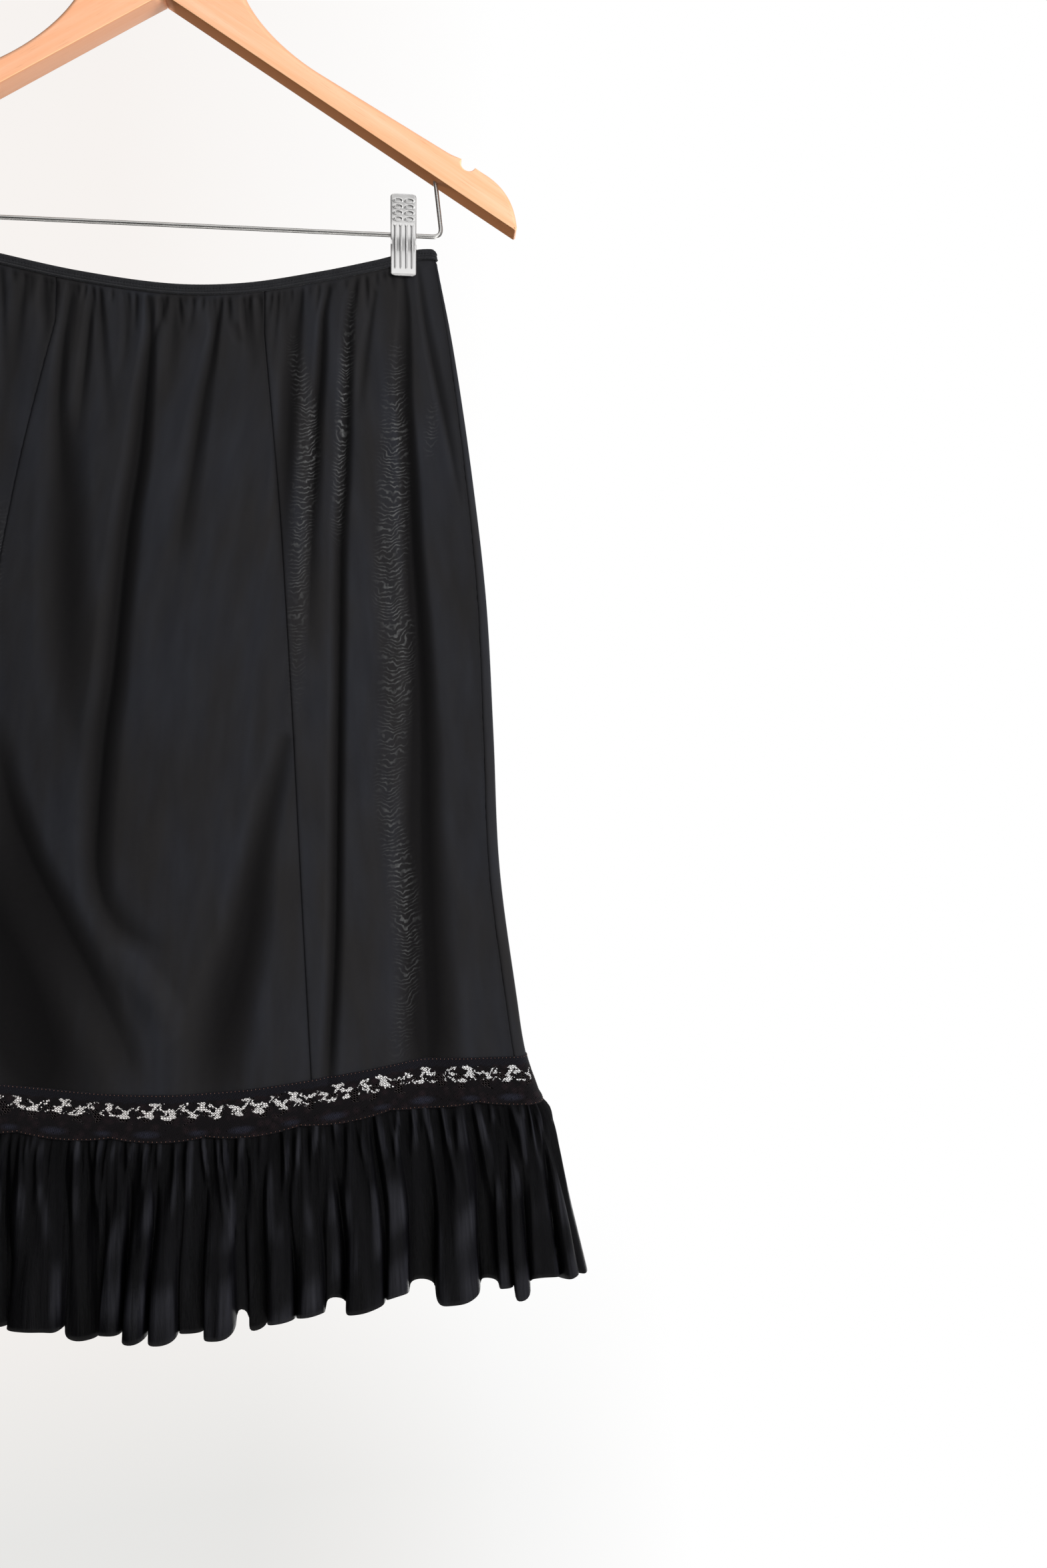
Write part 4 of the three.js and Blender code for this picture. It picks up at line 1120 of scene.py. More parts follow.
def lace_band(side, start, end, shift, step, fullness):
    """One cut band with its net and its edge stitches, between two places around."""
    fine = np.linspace(start, end, 6000)
    length = run_of(skirt_point(fine, LACE_TOP + LACE_HEIGHT // 2))
    long = length[-1]

    def lay(s, t, out):
        return skirt_point(np.interp(s, length, fine), LACE_TOP + t, LACE_OUT + out)

    s = np.linspace(0, long, int(long / step))
    t = np.linspace(0, LACE_EDGE, int(LACE_EDGE / step))
    chart = lace_chart(*np.meshgrid(s, t, indexing="ij"), shift, fullness)
    cut = {"flat": (round(long * MM, 3), LACE_EDGE * MM),
           "area": round((chart > 0).mean() * long * LACE_EDGE * MM * MM, 5)}
    flat, faces = cut_sheet(chart, s, t)
    s, t = flat.T
    local = np.mod(s - shift, REPEAT)
    petal = np.maximum(oval(local, t, (14, 25.4), (9, 2.6)), oval(local, t, (44, 25.2), (6.5, 2.0)))
    fields = {"border": smooth(border_low(s) - t + 0.6), "lens": smooth((petal + 0.4) / 2.2)}
    band = mesh_piece(f"lace_{side}", lay(s, t, ruffle_room(t)), faces, flat * UV_SCALE, fields)
    thicken(band, LACE_WALL)
    settle(band, lace, "lace", "lace_band")

    ends = net_edges(long, shift, fullness)
    first, last = [lay(ends[:, n, 0], ends[:, n, 1], -NET_DEPTH) for n in (0, 1)]
    net = settle(thread_mesh(f"lace_net_{side}", first, last, NET_RADIUS), net_thread, "lace")
    edge_s = np.arange(0.5, long - 1, EDGE_PITCH)
    edge_t = scallop(edge_s - shift) - EDGE_INSET
    middle = lay(edge_s, edge_t, ruffle_room(edge_t) + 0.1)
    edging = stitch_row(f"lace_edge_stitches_{side}", list(zip(middle, np.gradient(middle, axis=0))),
                        sewing_thread, length=0.5, radius=0.27, slot="lace")
    print(side, "lace:", len(faces), "faces and", len(ends), "threads of net, cut", round(long), "mm long")
    return band, [net, edging], cut


# %% The two bands
lace_front, on_front, lace_cut_front = lace_band(
    "front", -SIDE_MIDDLE, 1 + SIDE_MIDDLE, shift=6.0, step=0.62, fullness=0.12)
lace_back, on_back, lace_cut_back = lace_band(
    "back", 1 + SIDE_MIDDLE, 4 - SIDE_MIDDLE, shift=20.0, step=0.80, fullness=-0.9)
top_row = along_row(lambda place: LACE_TOP + 0.7, pitch=2.5, out=LACE_OUT + 0.1)
lace_top_stitches = stitch_row("lace_top_stitches", top_row, sewing_thread,
                               length=0.5, radius=0.28, slot="lace")

# %% [markdown]
# ## The ruffle
#
# A strip of satin, half as long again as the seam it is sewn to. At the top it is packed into gathers a few
# millimetres apart, and these open downwards into lobes of very different widths, with narrow slits between
# where the cloth folds back under itself. A simulated strip would gather by chance, so the lobes at the front
# are listed, and those on the hidden left and back come from a seeded draw of the same kind. Crest is
# how far a lobe's middle stands out at the hem, and low how much lower than the plain hem it hangs.

# %% Lobes round the hem
RUFFLE_START = RUFFLE_TOP - 8
LOBES = table("x width crest low", """
    -70 32  5 -2
    -43 20 -6  7
    -24 13  6 -2
    -10 15  8  2
      6 16  8  3
     24 14  1  0
     39 18  8  3
     53  6 -6 -9
     62 12 -4  5
     76 18  7 -2
     93 16  7 -3
    109 10  0 -9
    127 24  8  1
    147 14  6 -4
    162 16 -7 -7
    185 30  8  5
    204 12 -6 -5
    215  9  3 -1
    227 14  7  6
    248 27 -1 -5""")
hem_places = np.linspace(0, 4, 16001)
hem_length = run_of(skirt_point(hem_places, HEM))
hem_round = hem_length[-1]


def draw_lobes(rng, start, end):
    """Uneven lobes that fill a stretch of the hem."""
    rows, at = [], start
    while at < end - 6:
        width = min(rng.choice([9, 13, 16, 20, 27]) * rng.uniform(0.85, 1.15), end - at)
        crest = rng.choice([8, 7, 5, 1, -5]) + rng.uniform(-1, 1)
        rows.append((at + width / 2, width, crest, rng.uniform(-4, 4) + (3 if crest < 0 else 0)))
        at += width
    return rows


front_at = np.interp(np.mod(front_place(LOBES["x"], HEM), 4), hem_places, hem_length)
by_hand = list(zip(front_at, LOBES["width"], LOBES["crest"], LOBES["low"]))
hidden_left = draw_lobes(rng, 0, front_at[0] - LOBES["width"][0] / 2)
hidden_back = draw_lobes(rng, front_at[-1] + LOBES["width"][-1] / 2, hem_round)
lobes = np.array(hidden_left + by_hand + hidden_back)
between = (lobes[:-1, 0] + lobes[:-1, 1] / 2 + lobes[1:, 0] - lobes[1:, 1] / 2) / 2
lobe_edges = np.concatenate([[0], between, [hem_round]])
slits = rng.choice([-8.0, -7.0, -4.5, -2.0], len(lobes) + 1)     # how far the cloth folds back between lobes
print(len(lobes), "lobes round a hem of", round(hem_round), "mm")


# %% The form of a lobe
WALL_LEAN = 0.28         # moves a lobe's cloth towards its edges, which stand up as walls beside the slits
LOBE_FLATNESS = 2.8      # 2 is a round lobe, more is flatter with steeper sides


def lobe_form(at):
    """Each place's lobe: how far out it stands at the hem, how much lower it hangs, and how far it leans."""
    k = np.clip(np.searchsorted(lobe_edges, at, side="right") - 1, 0, len(lobes) - 1)
    width = lobe_edges[k + 1] - lobe_edges[k]
    share = 2 * (at - lobe_edges[k]) / width - 1
    n = share + 0.18 * (1 - share * share)
    crest = lobes[k, 2]
    slit = np.where(n < 0, slits[k], slits[k + 1])
    out = crest - (crest - slit) * np.abs(n) ** LOBE_FLATNESS
    low = lobes[k, 3] * (1 - n ** 2) - 1.2 * n ** 2
    return out, low, WALL_LEAN * width / 2 * np.sin(share * math.pi)


# %% Gathers
DRIFT = 15               # how far a gather wanders sideways in 100 mm
GATHERS = [              # count round the hem, height, half width, length
    (260, (1.0, 2.8), (0.9, 1.8), (20, 110)),
    (120, (1.4, 4.0), (1.8, 4.0), (45, 130))]


def gather_lift(rng, at, drop):
    """Ridges from the seam, fine and broad, each of its own strength, length and drift."""
    lift = np.zeros(at.shape)
    below = drop - RUFFLE_TOP
    for count, heights, halves, lengths in GATHERS:
        step = hem_round / count
        for number in range(count):
            middle = (number + rng.uniform(-0.45, 0.45)) * step
            height, half, length = rng.uniform(*heights), rng.uniform(*halves), rng.uniform(*lengths)
            drift = rng.uniform(-DRIFT, DRIFT)
            near = np.abs(at[:, 0] - middle) < 2 * DRIFT
            if not near.any():
                continue
            line = middle + drift * below[near] / 100
            width = half * (1 + np.maximum(below[near], 0) / 70)
            shape = np.exp(-((at[near] - line) / width) ** 2)
            lift[near] += height * shape * smooth((below[near] + 6) / 14) * (1 - smooth(below[near] / length))
    return lift


# %% Ruffle
RUFFLE_ROWS = 40
RUFFLE_STEP = 1.04
RUFFLE_WALL = 0.4
RUFFLE_FULLNESS = 1.5    # the cloth's own length for each millimetre of hem
TUCK_UNDER = 0.9         # how far its top is tucked in under the lace
CREST_REACH = 7          # steps of the hem on either side that a crest is measured against
columns = int(hem_round / RUFFLE_STEP)
at_hem = np.arange(columns) * hem_round / columns
at, drop = np.meshgrid(at_hem, np.linspace(RUFFLE_START, HEM, RUFFLE_ROWS), indexing="ij")
open_share = np.clip((drop - RUFFLE_TOP) / (HEM - RUFFLE_TOP), 0, 1)
bend = 4.5 * np.sin(drop / 30 + at / 31) * (1 - open_share)
lobe_out, lobe_low, lobe_lean = lobe_form(np.clip(at + bend, 0, hem_round))
around = np.interp(np.mod(at + lobe_lean * open_share ** 1.5, hem_round), hem_length, hem_places)
ripple = (0.7 * np.sin(at / 2.6 + drop / 31) * np.sin(at / 9.3)
          + 0.5 * np.sin(at / 1.5 - drop / 40) * np.sin(at / 15 + 1))
out = lobe_out * open_share ** 1.1 + ripple * open_share + gather_lift(rng, at, drop)
out += -TUCK_UNDER + TUCK_UNDER * smooth((drop - RUFFLE_TOP - 2) / 10)
points = skirt_point(around, drop, out)
points[..., 2] -= lobe_low * open_share ** 1.5
# crest: how far the cloth stands out from the cloth beside it; the satin paints its highlight there, in
# patches
neighbours = range(-CREST_REACH, CREST_REACH + 1)
beside = sum(np.roll(out, step, axis=0) for step in neighbours) / len(neighbours)
crest = smooth(((np.roll(out, 1, axis=0) - beside) * (2.0 - open_share) - 0.5) / 1.8)
crest *= np.clip(0.5 + 0.6 * np.sin(at / 17 + 2.6 * np.sin(drop / 15 + at / 40)), 0.1, 1)
uv = np.stack([at * RUFFLE_FULLNESS, drop], axis=-1) * UV_SCALE
ruffle = mesh_piece("satin_ruffle", points, grid_faces(columns, RUFFLE_ROWS, ring=True), uv, {"crest": crest})
thicken(ruffle, RUFFLE_WALL)
settle(ruffle, satin, "ruffle", "ruffle")
hem_run = np.linalg.norm(np.diff(points[:, -1], axis=0), axis=-1).sum()
print("ruffle cloth", round(cloth_area(points), 4), "m2, hem runs", round(hem_run), "mm")

# %% [markdown]
# ## The hanger
#
# Two arms are sawn from one plank of pale wood and meet at the neck. Their upper edges are rounded for the
# hand, and the lower ones left crisp. Each outline is built once, with its own rounding at each point, and
# carried from the front face to the back in rings. The grain follows each arm.

# %% The arm's outline
NOTCH_DROP = 104
ARM_SLOPE = 0.6234
ARM_THICKNESS = 13.6
NECK_HEIGHT = 36
JOINT = 0.15             # half the gap between the two arms
TIP = (223, -138.6)
STRAP_NOTCH = (192, -95.8, 5.2)


def bezier(*ends, count=14):
    """Points of a curve with two, three or four control points, without its first."""
    t = np.linspace(0, 1, count + 1)[1:, None]
    ends = np.array(ends, float)
    while len(ends) > 1:
        ends = [a * (1 - t) + b * t for a, b in zip(ends[:-1], ends[1:])]
    return ends[0]


def arm_outline():
    """(x, z above the notch, edge rounding) round the right arm."""
    x, z, radius = STRAP_NOTCH
    turn = np.linspace(-0.69, -math.pi - 0.41, 16)
    notch = np.stack([x + radius * np.cos(turn), z + radius * np.sin(turn)], -1)
    foot = TIP[0] - 3
    parts = [(np.array([[JOINT, 0.0]]), 0.3),
             (bezier((JOINT, 0), (foot, -ARM_SLOPE * foot), count=40), 0.7),
             (bezier((foot, -ARM_SLOPE * foot), (TIP[0], TIP[1] - 1), (TIP[0], TIP[1] + 3), count=8), 1.0),
             (bezier((TIP[0], TIP[1] + 3), (221.0, -109.5), notch[0], count=24)[:-1], 2.0),
             (notch, 1.0),
             (bezier(notch[-1], (98, -43.4), count=30), 3.4),
             (bezier((98, -43.4), (74, -30), (56, -11), (50, 4), count=18), 3.4),
             (bezier((50, 4), (44, 22), (34, NECK_HEIGHT - 1), (12, NECK_HEIGHT), count=18), 3.0),
             (bezier((12, NECK_HEIGHT), (JOINT, NECK_HEIGHT), count=4), 1.2)]
    outline = np.concatenate([np.column_stack([points, np.full(len(points), size)])
                              for points, size in parts])
    rounding = np.convolve(np.pad(outline[:, 2], 2, mode="edge"), np.ones(5) / 5, mode="valid")
    lips = np.stack([notch[0], notch[-1]])
    from_lip = np.linalg.norm(outline[:, None, :2] - lips, axis=-1).min(axis=1)
    return np.column_stack([outline[:, :2], np.minimum(rounding, 0.1 + 0.45 * from_lip)])


# %% Arms
def arm(side, name, node):
    """One arm, from rings of its outline that round over both faces."""
    outline = arm_outline()
    ahead, behind = np.roll(outline[:, :2], -1, axis=0), np.roll(outline[:, :2], 1, axis=0)
    run = ahead - behind
    outwards = np.column_stack([run[:, 1], -run[:, 0]]) / np.linalg.norm(run, axis=1, keepdims=True)
    outwards[[0, -1]] = (-1, 0)
    turn = np.radians([0, 22.5, 45, 67.5, 90])
    rings, turned = [], []
    for face, angles in ((-1, [None, *turn]), (1, [*turn[::-1], None])):
        for angle in angles:
            inset = outline[:, 2:] * (1 - math.sin(angle or 0)) + (0.5 if angle is None else 0)
            flat = outline[:, :2] - outwards * inset
            y = face * (ARM_THICKNESS / 2 - outline[:, 2] * (1 - math.cos(angle or 0)))
            rings.append(np.column_stack([side * flat[:, 0], y, flat[:, 1] - NOTCH_DROP]))
            turned.append(math.sin(angle or 0))
    points = np.stack(rings, axis=1)
    count, deep = points.shape[:2]
    front = (np.arange(count) * deep).tolist()
    back = (np.arange(count) * deep + deep - 1)[::-1].tolist()
    faces = grid_faces(count, deep, ring=True).tolist() + [front, back]
    if side < 0:
        faces = [face[::-1] for face in faces]
    along = np.array([side, 0, -ARM_SLOPE]) / math.hypot(1, ARM_SLOPE)
    up = np.array([side * ARM_SLOPE, 0, 1]) / math.hypot(1, ARM_SLOPE)
    places = points.reshape(-1, 3)
    grain = np.stack([places @ along + 300 * side, places @ up, places[:, 1]], -1) * UV_SCALE
    turned = np.array(turned)
    lower_edge = ((outline[:, 2] < 1.0) & (outwards[:, 1] < -0.4))[:, None]
    # painted shade on the lower faces, stronger on the right arm, which faces away from the window
    painted_underside_shade = lower_edge * (turned > 0.6) * (1.0 if side > 0 else 0.6)
    # painted shade on the rounded upper edges
    rounded = (outline[:, 2:] > 1.3) * turned
    # a paler line along the crisp lower edge
    pale_lower_edge = lower_edge * (turned < 0.6) * (turned > 0.1) * 0.8
    piece = mesh_piece(name, points, faces, fields={"under": painted_underside_shade, "rounded": rounded, "pale_lower_edge": pale_lower_edge})
    piece.data.attributes.new("grain", "FLOAT_VECTOR", "POINT").data.foreach_set("vector", grain.ravel())
    settle(piece, wood, "wood", node)


arm(-1, "left_arm", "arm_left")
arm(1, "right_arm", "arm_right")
print("hanger is", round(2 * TIP[0]), "mm wide")

# %% [markdown]
# ## Hook and clip bar
#
# The hook and the clip bar are drawn wires. A bevelled curve would do, but its ends are flat. Here a ring of
# points is carried along each path, kept square to it, and closed with a dome, so the hook's free end is
# rounded off. The bar's legs are bent up into the arms.

# %% Tubes
def tube(name, path, radius, node, sides=14):
    """A round wire along a path, with domed ends."""
    path = np.asarray(path, float)
    along = np.gradient(path, axis=0)
    along /= np.linalg.norm(along, axis=1, keepdims=True)
    across = np.cross(along[0], (0.0, 1.0, 0.0))
    if np.linalg.norm(across) < 0.1:
        across = np.cross(along[0], (0.0, 0.0, 1.0))
    rings, frames = [], []
    for direction in along:
        across = across - direction * (across @ direction)
        across /= np.linalg.norm(across)
        frames.append((across, np.cross(direction, across)))

    def ring(middle, size, pair):
        turns = np.linspace(0, math.tau, sides, endpoint=False)
        return middle + size * (np.cos(turns)[:, None] * pair[0] + np.sin(turns)[:, None] * pair[1])

    caps = [(0.02, -1.0), (0.55, -0.83), (0.87, -0.5)]
    for size, back in caps:
        rings.append(ring(path[0] + along[0] * back * radius, radius * size, frames[0]))
    rings += [ring(middle, radius, pair) for middle, pair in zip(path, frames)]
    for size, back in caps[::-1]:
        rings.append(ring(path[-1] - along[-1] * back * radius, radius * size, frames[-1]))
    count = len(rings)
    ends = [list(range(sides))[::-1], [(count - 1) * sides + n for n in range(sides)]]
    piece = mesh_piece(name, np.stack(rings), grid_faces(count, sides, closed=True).tolist() + ends)
    settle(piece, wire_steel, "steel", node)


def arc(middle, radius, start, end, count):
    """Points on a circle in the X-Z plane."""
    turn = np.linspace(start, end, count)
    return np.column_stack([middle[0] + radius * np.cos(turn), middle[1] + radius * np.sin(turn)])


def upright(path):
    """A flat path (x, z) stood up in the hanger's own plane."""
    return np.column_stack([path[:, 0], np.zeros(len(path)), path[:, 1]])


# %% Hook
HOOK_WIRE, HOOK_MOUTH, HOOK_BEND = 1.75, 20, 9
hook_round = HOOK_MOUTH + HOOK_WIRE
rise = math.sqrt((hook_round + HOOK_BEND) ** 2 - HOOK_BEND ** 2)
meet = math.atan2(-rise, HOOK_BEND)
shank = bezier((0, -NOTCH_DROP + 14), (0, -HOOK_MOUTH - rise), count=20)
bend = arc((HOOK_BEND, -HOOK_MOUTH - rise), HOOK_BEND, math.pi, meet + math.pi, 12)[1:]
loop = arc((0, -HOOK_MOUTH), hook_round, meet, 1.08 * math.pi, 70)[1:]
tube("hook_wire", upright(np.concatenate([shank, bend, loop])), HOOK_WIRE, "hook")
print("hook is", 2 * HOOK_MOUTH, "mm wide inside")

# %% Clip bar
BAR_WIRE, BAR_DROP, BAR_TOP = 1.4, 245.5, 203
LEG_TOP_X, LEG_TOP_DROP, CORNER_X, CORNER_BEND = 170, 205, 174.6, 6


def leg_x(drop):
    """The legs lean out a little on their way down."""
    return LEG_TOP_X + (CORNER_X - LEG_TOP_X) * (drop - LEG_TOP_DROP) / (BAR_DROP - LEG_TOP_DROP)


bend_start = (CORNER_X - CORNER_BEND, -BAR_DROP)
bend_end = (leg_x(BAR_DROP - CORNER_BEND), CORNER_BEND - BAR_DROP)
half_bar = np.concatenate([
    bezier((0, -BAR_DROP), bend_start, count=30),
    bezier(bend_start, (CORNER_X, -BAR_DROP), bend_end, count=10),
    bezier(bend_end, (leg_x(BAR_TOP), -BAR_TOP), count=12)])
bar_path = np.concatenate([half_bar[::-1] * (-1, 1), [[0, -BAR_DROP]], half_bar])
tube("clip_rod", upright(bar_path), BAR_WIRE, "clip_bar")
print("clip bar is", 2 * CORNER_X, "mm wide")

# %% [markdown]
# ## The clips
#
# Each clip is two bent plates that turn on the bar, pushed shut by a coil spring. The finger tabs are pressed
# with two columns of slots for grip, the jaws with four ribs for stiffness, and the lips turn in to hold the
# elastic. The pressing is real relief on the plate, made by one height for each place on it, because a bump
# would look flat from the side.

# %% The pressed plate
JAW = table("below y", """
    -22.5 7.6
     -6   4.9
      4   4.6
     12.5 2.6
     25.4 2.6
     27.6 3.4""")
jaw_face = curve(JAW["below"], JAW["y"])
CLIP_X, CLIP_WIDTH, PLATE = 150, 16.4, 0.9
PLATE_WALL = 0.8
TAB_TOP, LIP = -22.5, 27.6
CORNER = 2.0             # rounding of the plate's corners
ROLL, ROLL_REACH = 0.3, 0.9    # how far its long edges turn in, and over what width
SLOT_SIZE, SLOT_DEPTH, SLOT_LIP = (2.6, 1.1), 0.30, 0.16
RIB_HALF, RIB_RISE, DOT_RISE = 0.6, 0.36, 0.18
SLOT_ACROSS, SLOT_FIRST, SLOT_STEP, SLOT_ROWS = 3.6, 3.9, 3.6, 4
RIB_PLACES = (-5.4, -1.8, 1.8, 5.4)
RIB_TOP, RIB_END = 18.5, 46.0


def pressed(across, below_top):
    """Relief of the plate in millimetres (slots in the tab, ribs with a dot at their top), and its painted
    shade.
    """
    relief, painted_shade_lines = np.zeros(across.shape), np.zeros(across.shape)
    for column in (-SLOT_ACROSS, SLOT_ACROSS):
        for row in range(SLOT_ROWS):
            middle = SLOT_FIRST + row * SLOT_STEP
            inside = oval(across, below_top, (column, middle), SLOT_SIZE)
            relief += SLOT_LIP * np.exp(-((inside + 0.1) / 0.2) ** 2)
            relief -= SLOT_DEPTH * smooth((inside + 0.1) / 0.35)
            # painted shade: a thin dark ring inside each slot's rim, mostly on its left side
            painted_shade_lines += np.exp(-((inside - 0.12) / 0.2) ** 2) * smooth((column + 1.6 - across) / 2.4)
    for place in RIB_PLACES:
        ridge = np.clip(1 - np.abs(across - place) / RIB_HALF, 0, 1)
        along = smooth((below_top - RIB_TOP) / 0.9) * smooth((RIB_END - below_top) / 1.6)
        relief += RIB_RISE * ridge ** 0.8 * along
        relief += DOT_RISE * smooth(oval(across, below_top, (place, RIB_TOP + 0.2), (1.1, 1.1)) / 0.5)
        # painted shade: a dark line down the left side of each rib
        painted_shade_lines += 0.9 * np.exp(-((across - place + 0.5) / 0.24) ** 2) * along
    return relief, np.clip(painted_shade_lines, 0, 1)


# %% Jaws
def jaw(name, node, middle, facing, columns, rows):
    """A plate with rounded corners on its own profile. Facing -1 is the front jaw."""
    below = np.linspace(TAB_TOP, LIP, rows)
    from_end = np.minimum(below - TAB_TOP, LIP - below)
    curve_in = CORNER - np.sqrt(np.maximum(CORNER ** 2 - (CORNER - from_end) ** 2, 0))
    taken = np.where(from_end < CORNER, curve_in, 0)
    share, below = np.meshgrid(np.linspace(-1, 1, columns), below, indexing="ij")
    across = share * (CLIP_WIDTH / 2 - taken)
    rolled = -ROLL * np.clip(1 - (1 - np.abs(share)) * CLIP_WIDTH / 2 / ROLL_REACH, 0, 1) ** 2
    relief, painted_shade_lines = pressed(across, below - TAB_TOP)
    y = jaw_face(below) + PLATE + rolled + relief
    points = np.stack([middle + across, facing * y, -BAR_DROP - below], axis=-1)
    faces = grid_faces(columns, rows)
    # the painted shade lines are stored as 'groove' for the steel finish
    piece = mesh_piece(name, points, faces if facing < 0 else faces[:, ::-1], fields={"groove": painted_shade_lines})
    thicken(piece, PLATE_WALL)
    settle(piece, steel, "steel", node)


# %% Ears and springs
EAR_RADIUS, EAR_NEST, BORE = 3.6, 1.3, 1.7
COILS, COIL_REACH, COIL_RADIUS, COIL_WIRE = 8, 4.6, 2.25, 0.5


def ear(name, middle, facing):
    """A side plate from the jaw to the bar, with a round hole for the bar."""
    tab = jaw_face(0.0) + 0.4
    nose = arc((0, 0), EAR_RADIUS, math.pi / 2, -math.pi / 2, 15)
    edge = np.concatenate([bezier((-tab, 8.2), (-2.4, 5.6), (0, EAR_RADIUS), count=6), nose[1:],
                           bezier((0, -EAR_RADIUS), (-2.4, -5.6), (-tab, -8.2), count=6),
                           bezier((-tab, -8.2), (-tab, 8.2), count=8)])
    turn = np.arctan2(edge[:, 1], edge[:, 0])
    hole = BORE * np.column_stack([np.cos(turn), np.sin(turn)])
    half = PLATE / 2
    rings = [(edge, -half), (edge, half), (hole, half), (hole, -half)]
    points = np.stack([np.column_stack([np.full(len(flat), middle + x), -facing * flat[:, 0],
                                        flat[:, 1] - BAR_DROP]) for flat, x in rings], axis=1)
    faces = grid_faces(len(edge), len(rings), ring=True, closed=True)
    piece = mesh_piece(name, points, faces if facing > 0 else faces[:, ::-1], smooth_faces=False)
    settle(piece, steel, "steel")


for side, middle in (("left", -CLIP_X), ("right", CLIP_X)):
    jaw(f"clip_front_{side}", f"jaw_front_{side}", middle, -1, 76, 170)
    jaw(f"clip_back_{side}", f"jaw_back_{side}", middle, 1, 40, 100)
    for facing, nest, word in ((-1, 0, "front"), (1, EAR_NEST, "back")):
        for hand, across in (("a", -1), ("b", 1)):
            ear(f"ear_{word}_{side}_{hand}", middle + across * (CLIP_WIDTH / 2 - PLATE / 2 - nest), facing)
    turns = np.linspace(0, COILS * math.tau, COILS * 18)
    along_bar = middle + np.linspace(-COIL_REACH, COIL_REACH, len(turns))
    coil = np.column_stack([along_bar, COIL_RADIUS * np.sin(turns), COIL_RADIUS * np.cos(turns) - BAR_DROP])
    tube(f"clip_spring_{side}", coil, COIL_WIRE, f"spring_{side}", sides=7)
    print(side, "clip hangs", abs(middle), "mm from the middle")

# %% [markdown]
# ## Measuring the cloth
#
# A panel's cut is measured as its own length and its widest level, with the area that is left between its
# shaped seams, printed as it is made. A lace band's cut area is what its openings leave.
# The ruffle's strip is about half as long again as the seam it is gathered into.

for name, (piece, points) in panels.items():
    wide, long = run_of(points)[-1].max(), run_of(points.swapaxes(0, 1))[-1].max()

# %% [markdown]
# ## Light and room
#
# A bright, even room: white all round, a little darker to the left and below, and one broad window of light
# from the right. The dark cloth shows its folds mostly by what it reflects, besides the shade and highlights
# painted on the knit and the satin, so the light it mirrors is shaped too: brighter to the right and upwards,
# with an upright strip and a raised screen of light, both in front and behind. The camera itself sees only the
# plain wall.

# %% World
world = bpy.data.worlds.new("white_room")
world.use_nodes = True
scene.world = world
tree = world.node_tree
tree.nodes.clear()
direction = add(tree, "ShaderNodeTexCoord").outputs["Generated"]
axes = add(tree, "ShaderNodeSeparateXYZ", {0: direction}).outputs
left = ranged(tree, axes[0], 0.06, -0.22)
low = calc(tree, "MULTIPLY", ranged(tree, axes[0], 0.2, -0.12), ranged(tree, axes[2], -0.34, -0.52))
wall = blend(tree, left, (1.0, 1.0, 1.0, 1), (0.930, 0.895, 0.870, 1))
wall = blend(tree, low, wall, (0.800, 0.795, 0.780, 1))
seen = add(tree, "ShaderNodeBackground", {"Color": wall, "Strength": 1.0}).outputs[0]
right = ranged(tree, axes[0], 0.1, 1.0, 0.09, 0.6)
above = ranged(tree, axes[2], -0.6, 0.5, 0.4, 1.0)
level_facing = ranged(tree, calc(tree, "ABSOLUTE", axes[1]), 0.2, 0.4)
beside = calc(tree, "ABSOLUTE", calc(tree, "SUBTRACT", axes[0], 0.34))
strip = calc(tree, "MULTIPLY", ranged(tree, beside, 0.20, 0.08, 0.0, 2.6), level_facing)
strip = calc(tree, "MULTIPLY", strip, ranged(tree, axes[2], 0.2, 0.1))
from_front = calc(tree, "ABSOLUTE", axes[0])
screen = calc(tree, "MULTIPLY", ranged(tree, from_front, 0.6, 0.3, 0.0, 1.05), level_facing)
screen = calc(tree, "MULTIPLY", screen, ranged(tree, axes[2], 0.06, 0.26))
screens = calc(tree, "MAXIMUM", screen, strip)
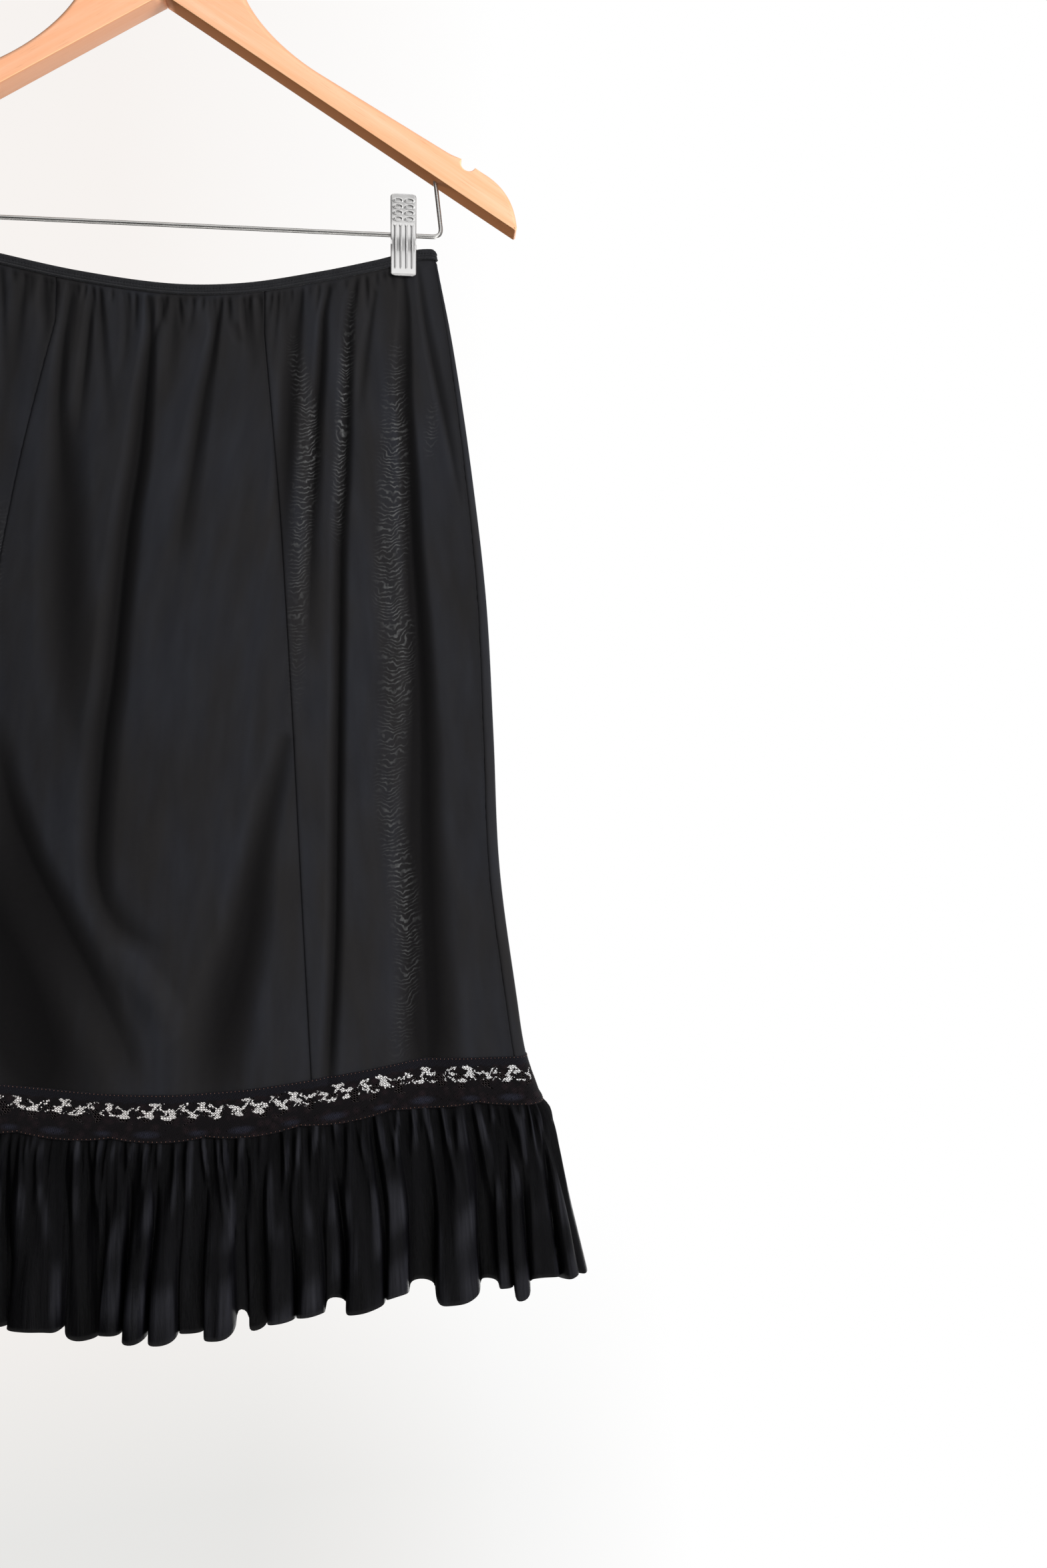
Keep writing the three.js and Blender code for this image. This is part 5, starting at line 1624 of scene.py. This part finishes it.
glow = calc(tree, "MAXIMUM", calc(tree, "MULTIPLY", right, above), screens)
grey = add(tree, "ShaderNodeCombineColor", {0: glow, 1: glow, 2: glow}).outputs[0]
lighting = add(tree, "ShaderNodeBackground", {"Color": grey, "Strength": 1.0}).outputs[0]
camera_ray = add(tree, "ShaderNodeLightPath").outputs["Is Camera Ray"]
both = add(tree, "ShaderNodeMixShader", {0: camera_ray, 1: lighting, 2: seen}).outputs[0]
add(tree, "ShaderNodeOutputWorld", {0: both})
scene.view_settings.view_transform = "Standard"
print("room has", len(tree.nodes), "nodes")


# %% Window light and floor
def window(name, place, target, size, watts):
    """A soft square light that faces a point."""
    light = bpy.data.lights.new(name, "AREA")
    light.size = size
    light.energy = watts
    lamp = bpy.data.objects.new(name, light)
    lamp.location = place
    aim = np.array(target) - np.array(place)
    tilt = math.acos(-aim[2] / np.linalg.norm(aim))
    lamp.rotation_euler = (tilt, 0, math.atan2(aim[1], aim[0]) - math.pi / 2)
    lamp.visible_glossy = False
    scene.collection.objects.link(lamp)


SKIRT_MIDDLE = (0.0, 0.0, -0.55)
window("window", (1.9, -1.2, -0.1), SKIRT_MIDDLE, size=1.1, watts=80)
window("back_window", (-1.7, 1.5, 0.1), SKIRT_MIDDLE, size=1.1, watts=60)

FLOOR_DROP, FLOOR_RADIUS, RIM_STEPS = 1900, 1100, 96
rim = arc((0, 0), FLOOR_RADIUS, 0, math.tau, RIM_STEPS + 1)[:-1]
floor_points = [(0, 0, -FLOOR_DROP)] + [(x, y, -FLOOR_DROP) for x, y in rim]
floor = mesh_piece("floor", floor_points, [(0, 1 + n, 1 + (n + 1) % RIM_STEPS) for n in range(RIM_STEPS)])
floor_paint, tree, shader = finish("floor_paint", Roughness=0.9)
speckle = add(tree, "ShaderNodeTexNoise", {"Scale": 3.0}).outputs[0]
drive(tree, shader, Base_Color=blend(tree, speckle, (0.82, 0.81, 0.80, 1), (0.88, 0.87, 0.86, 1)))
floor.data.materials.append(floor_paint)
print("floor lies", FLOOR_DROP, "mm below the hook")
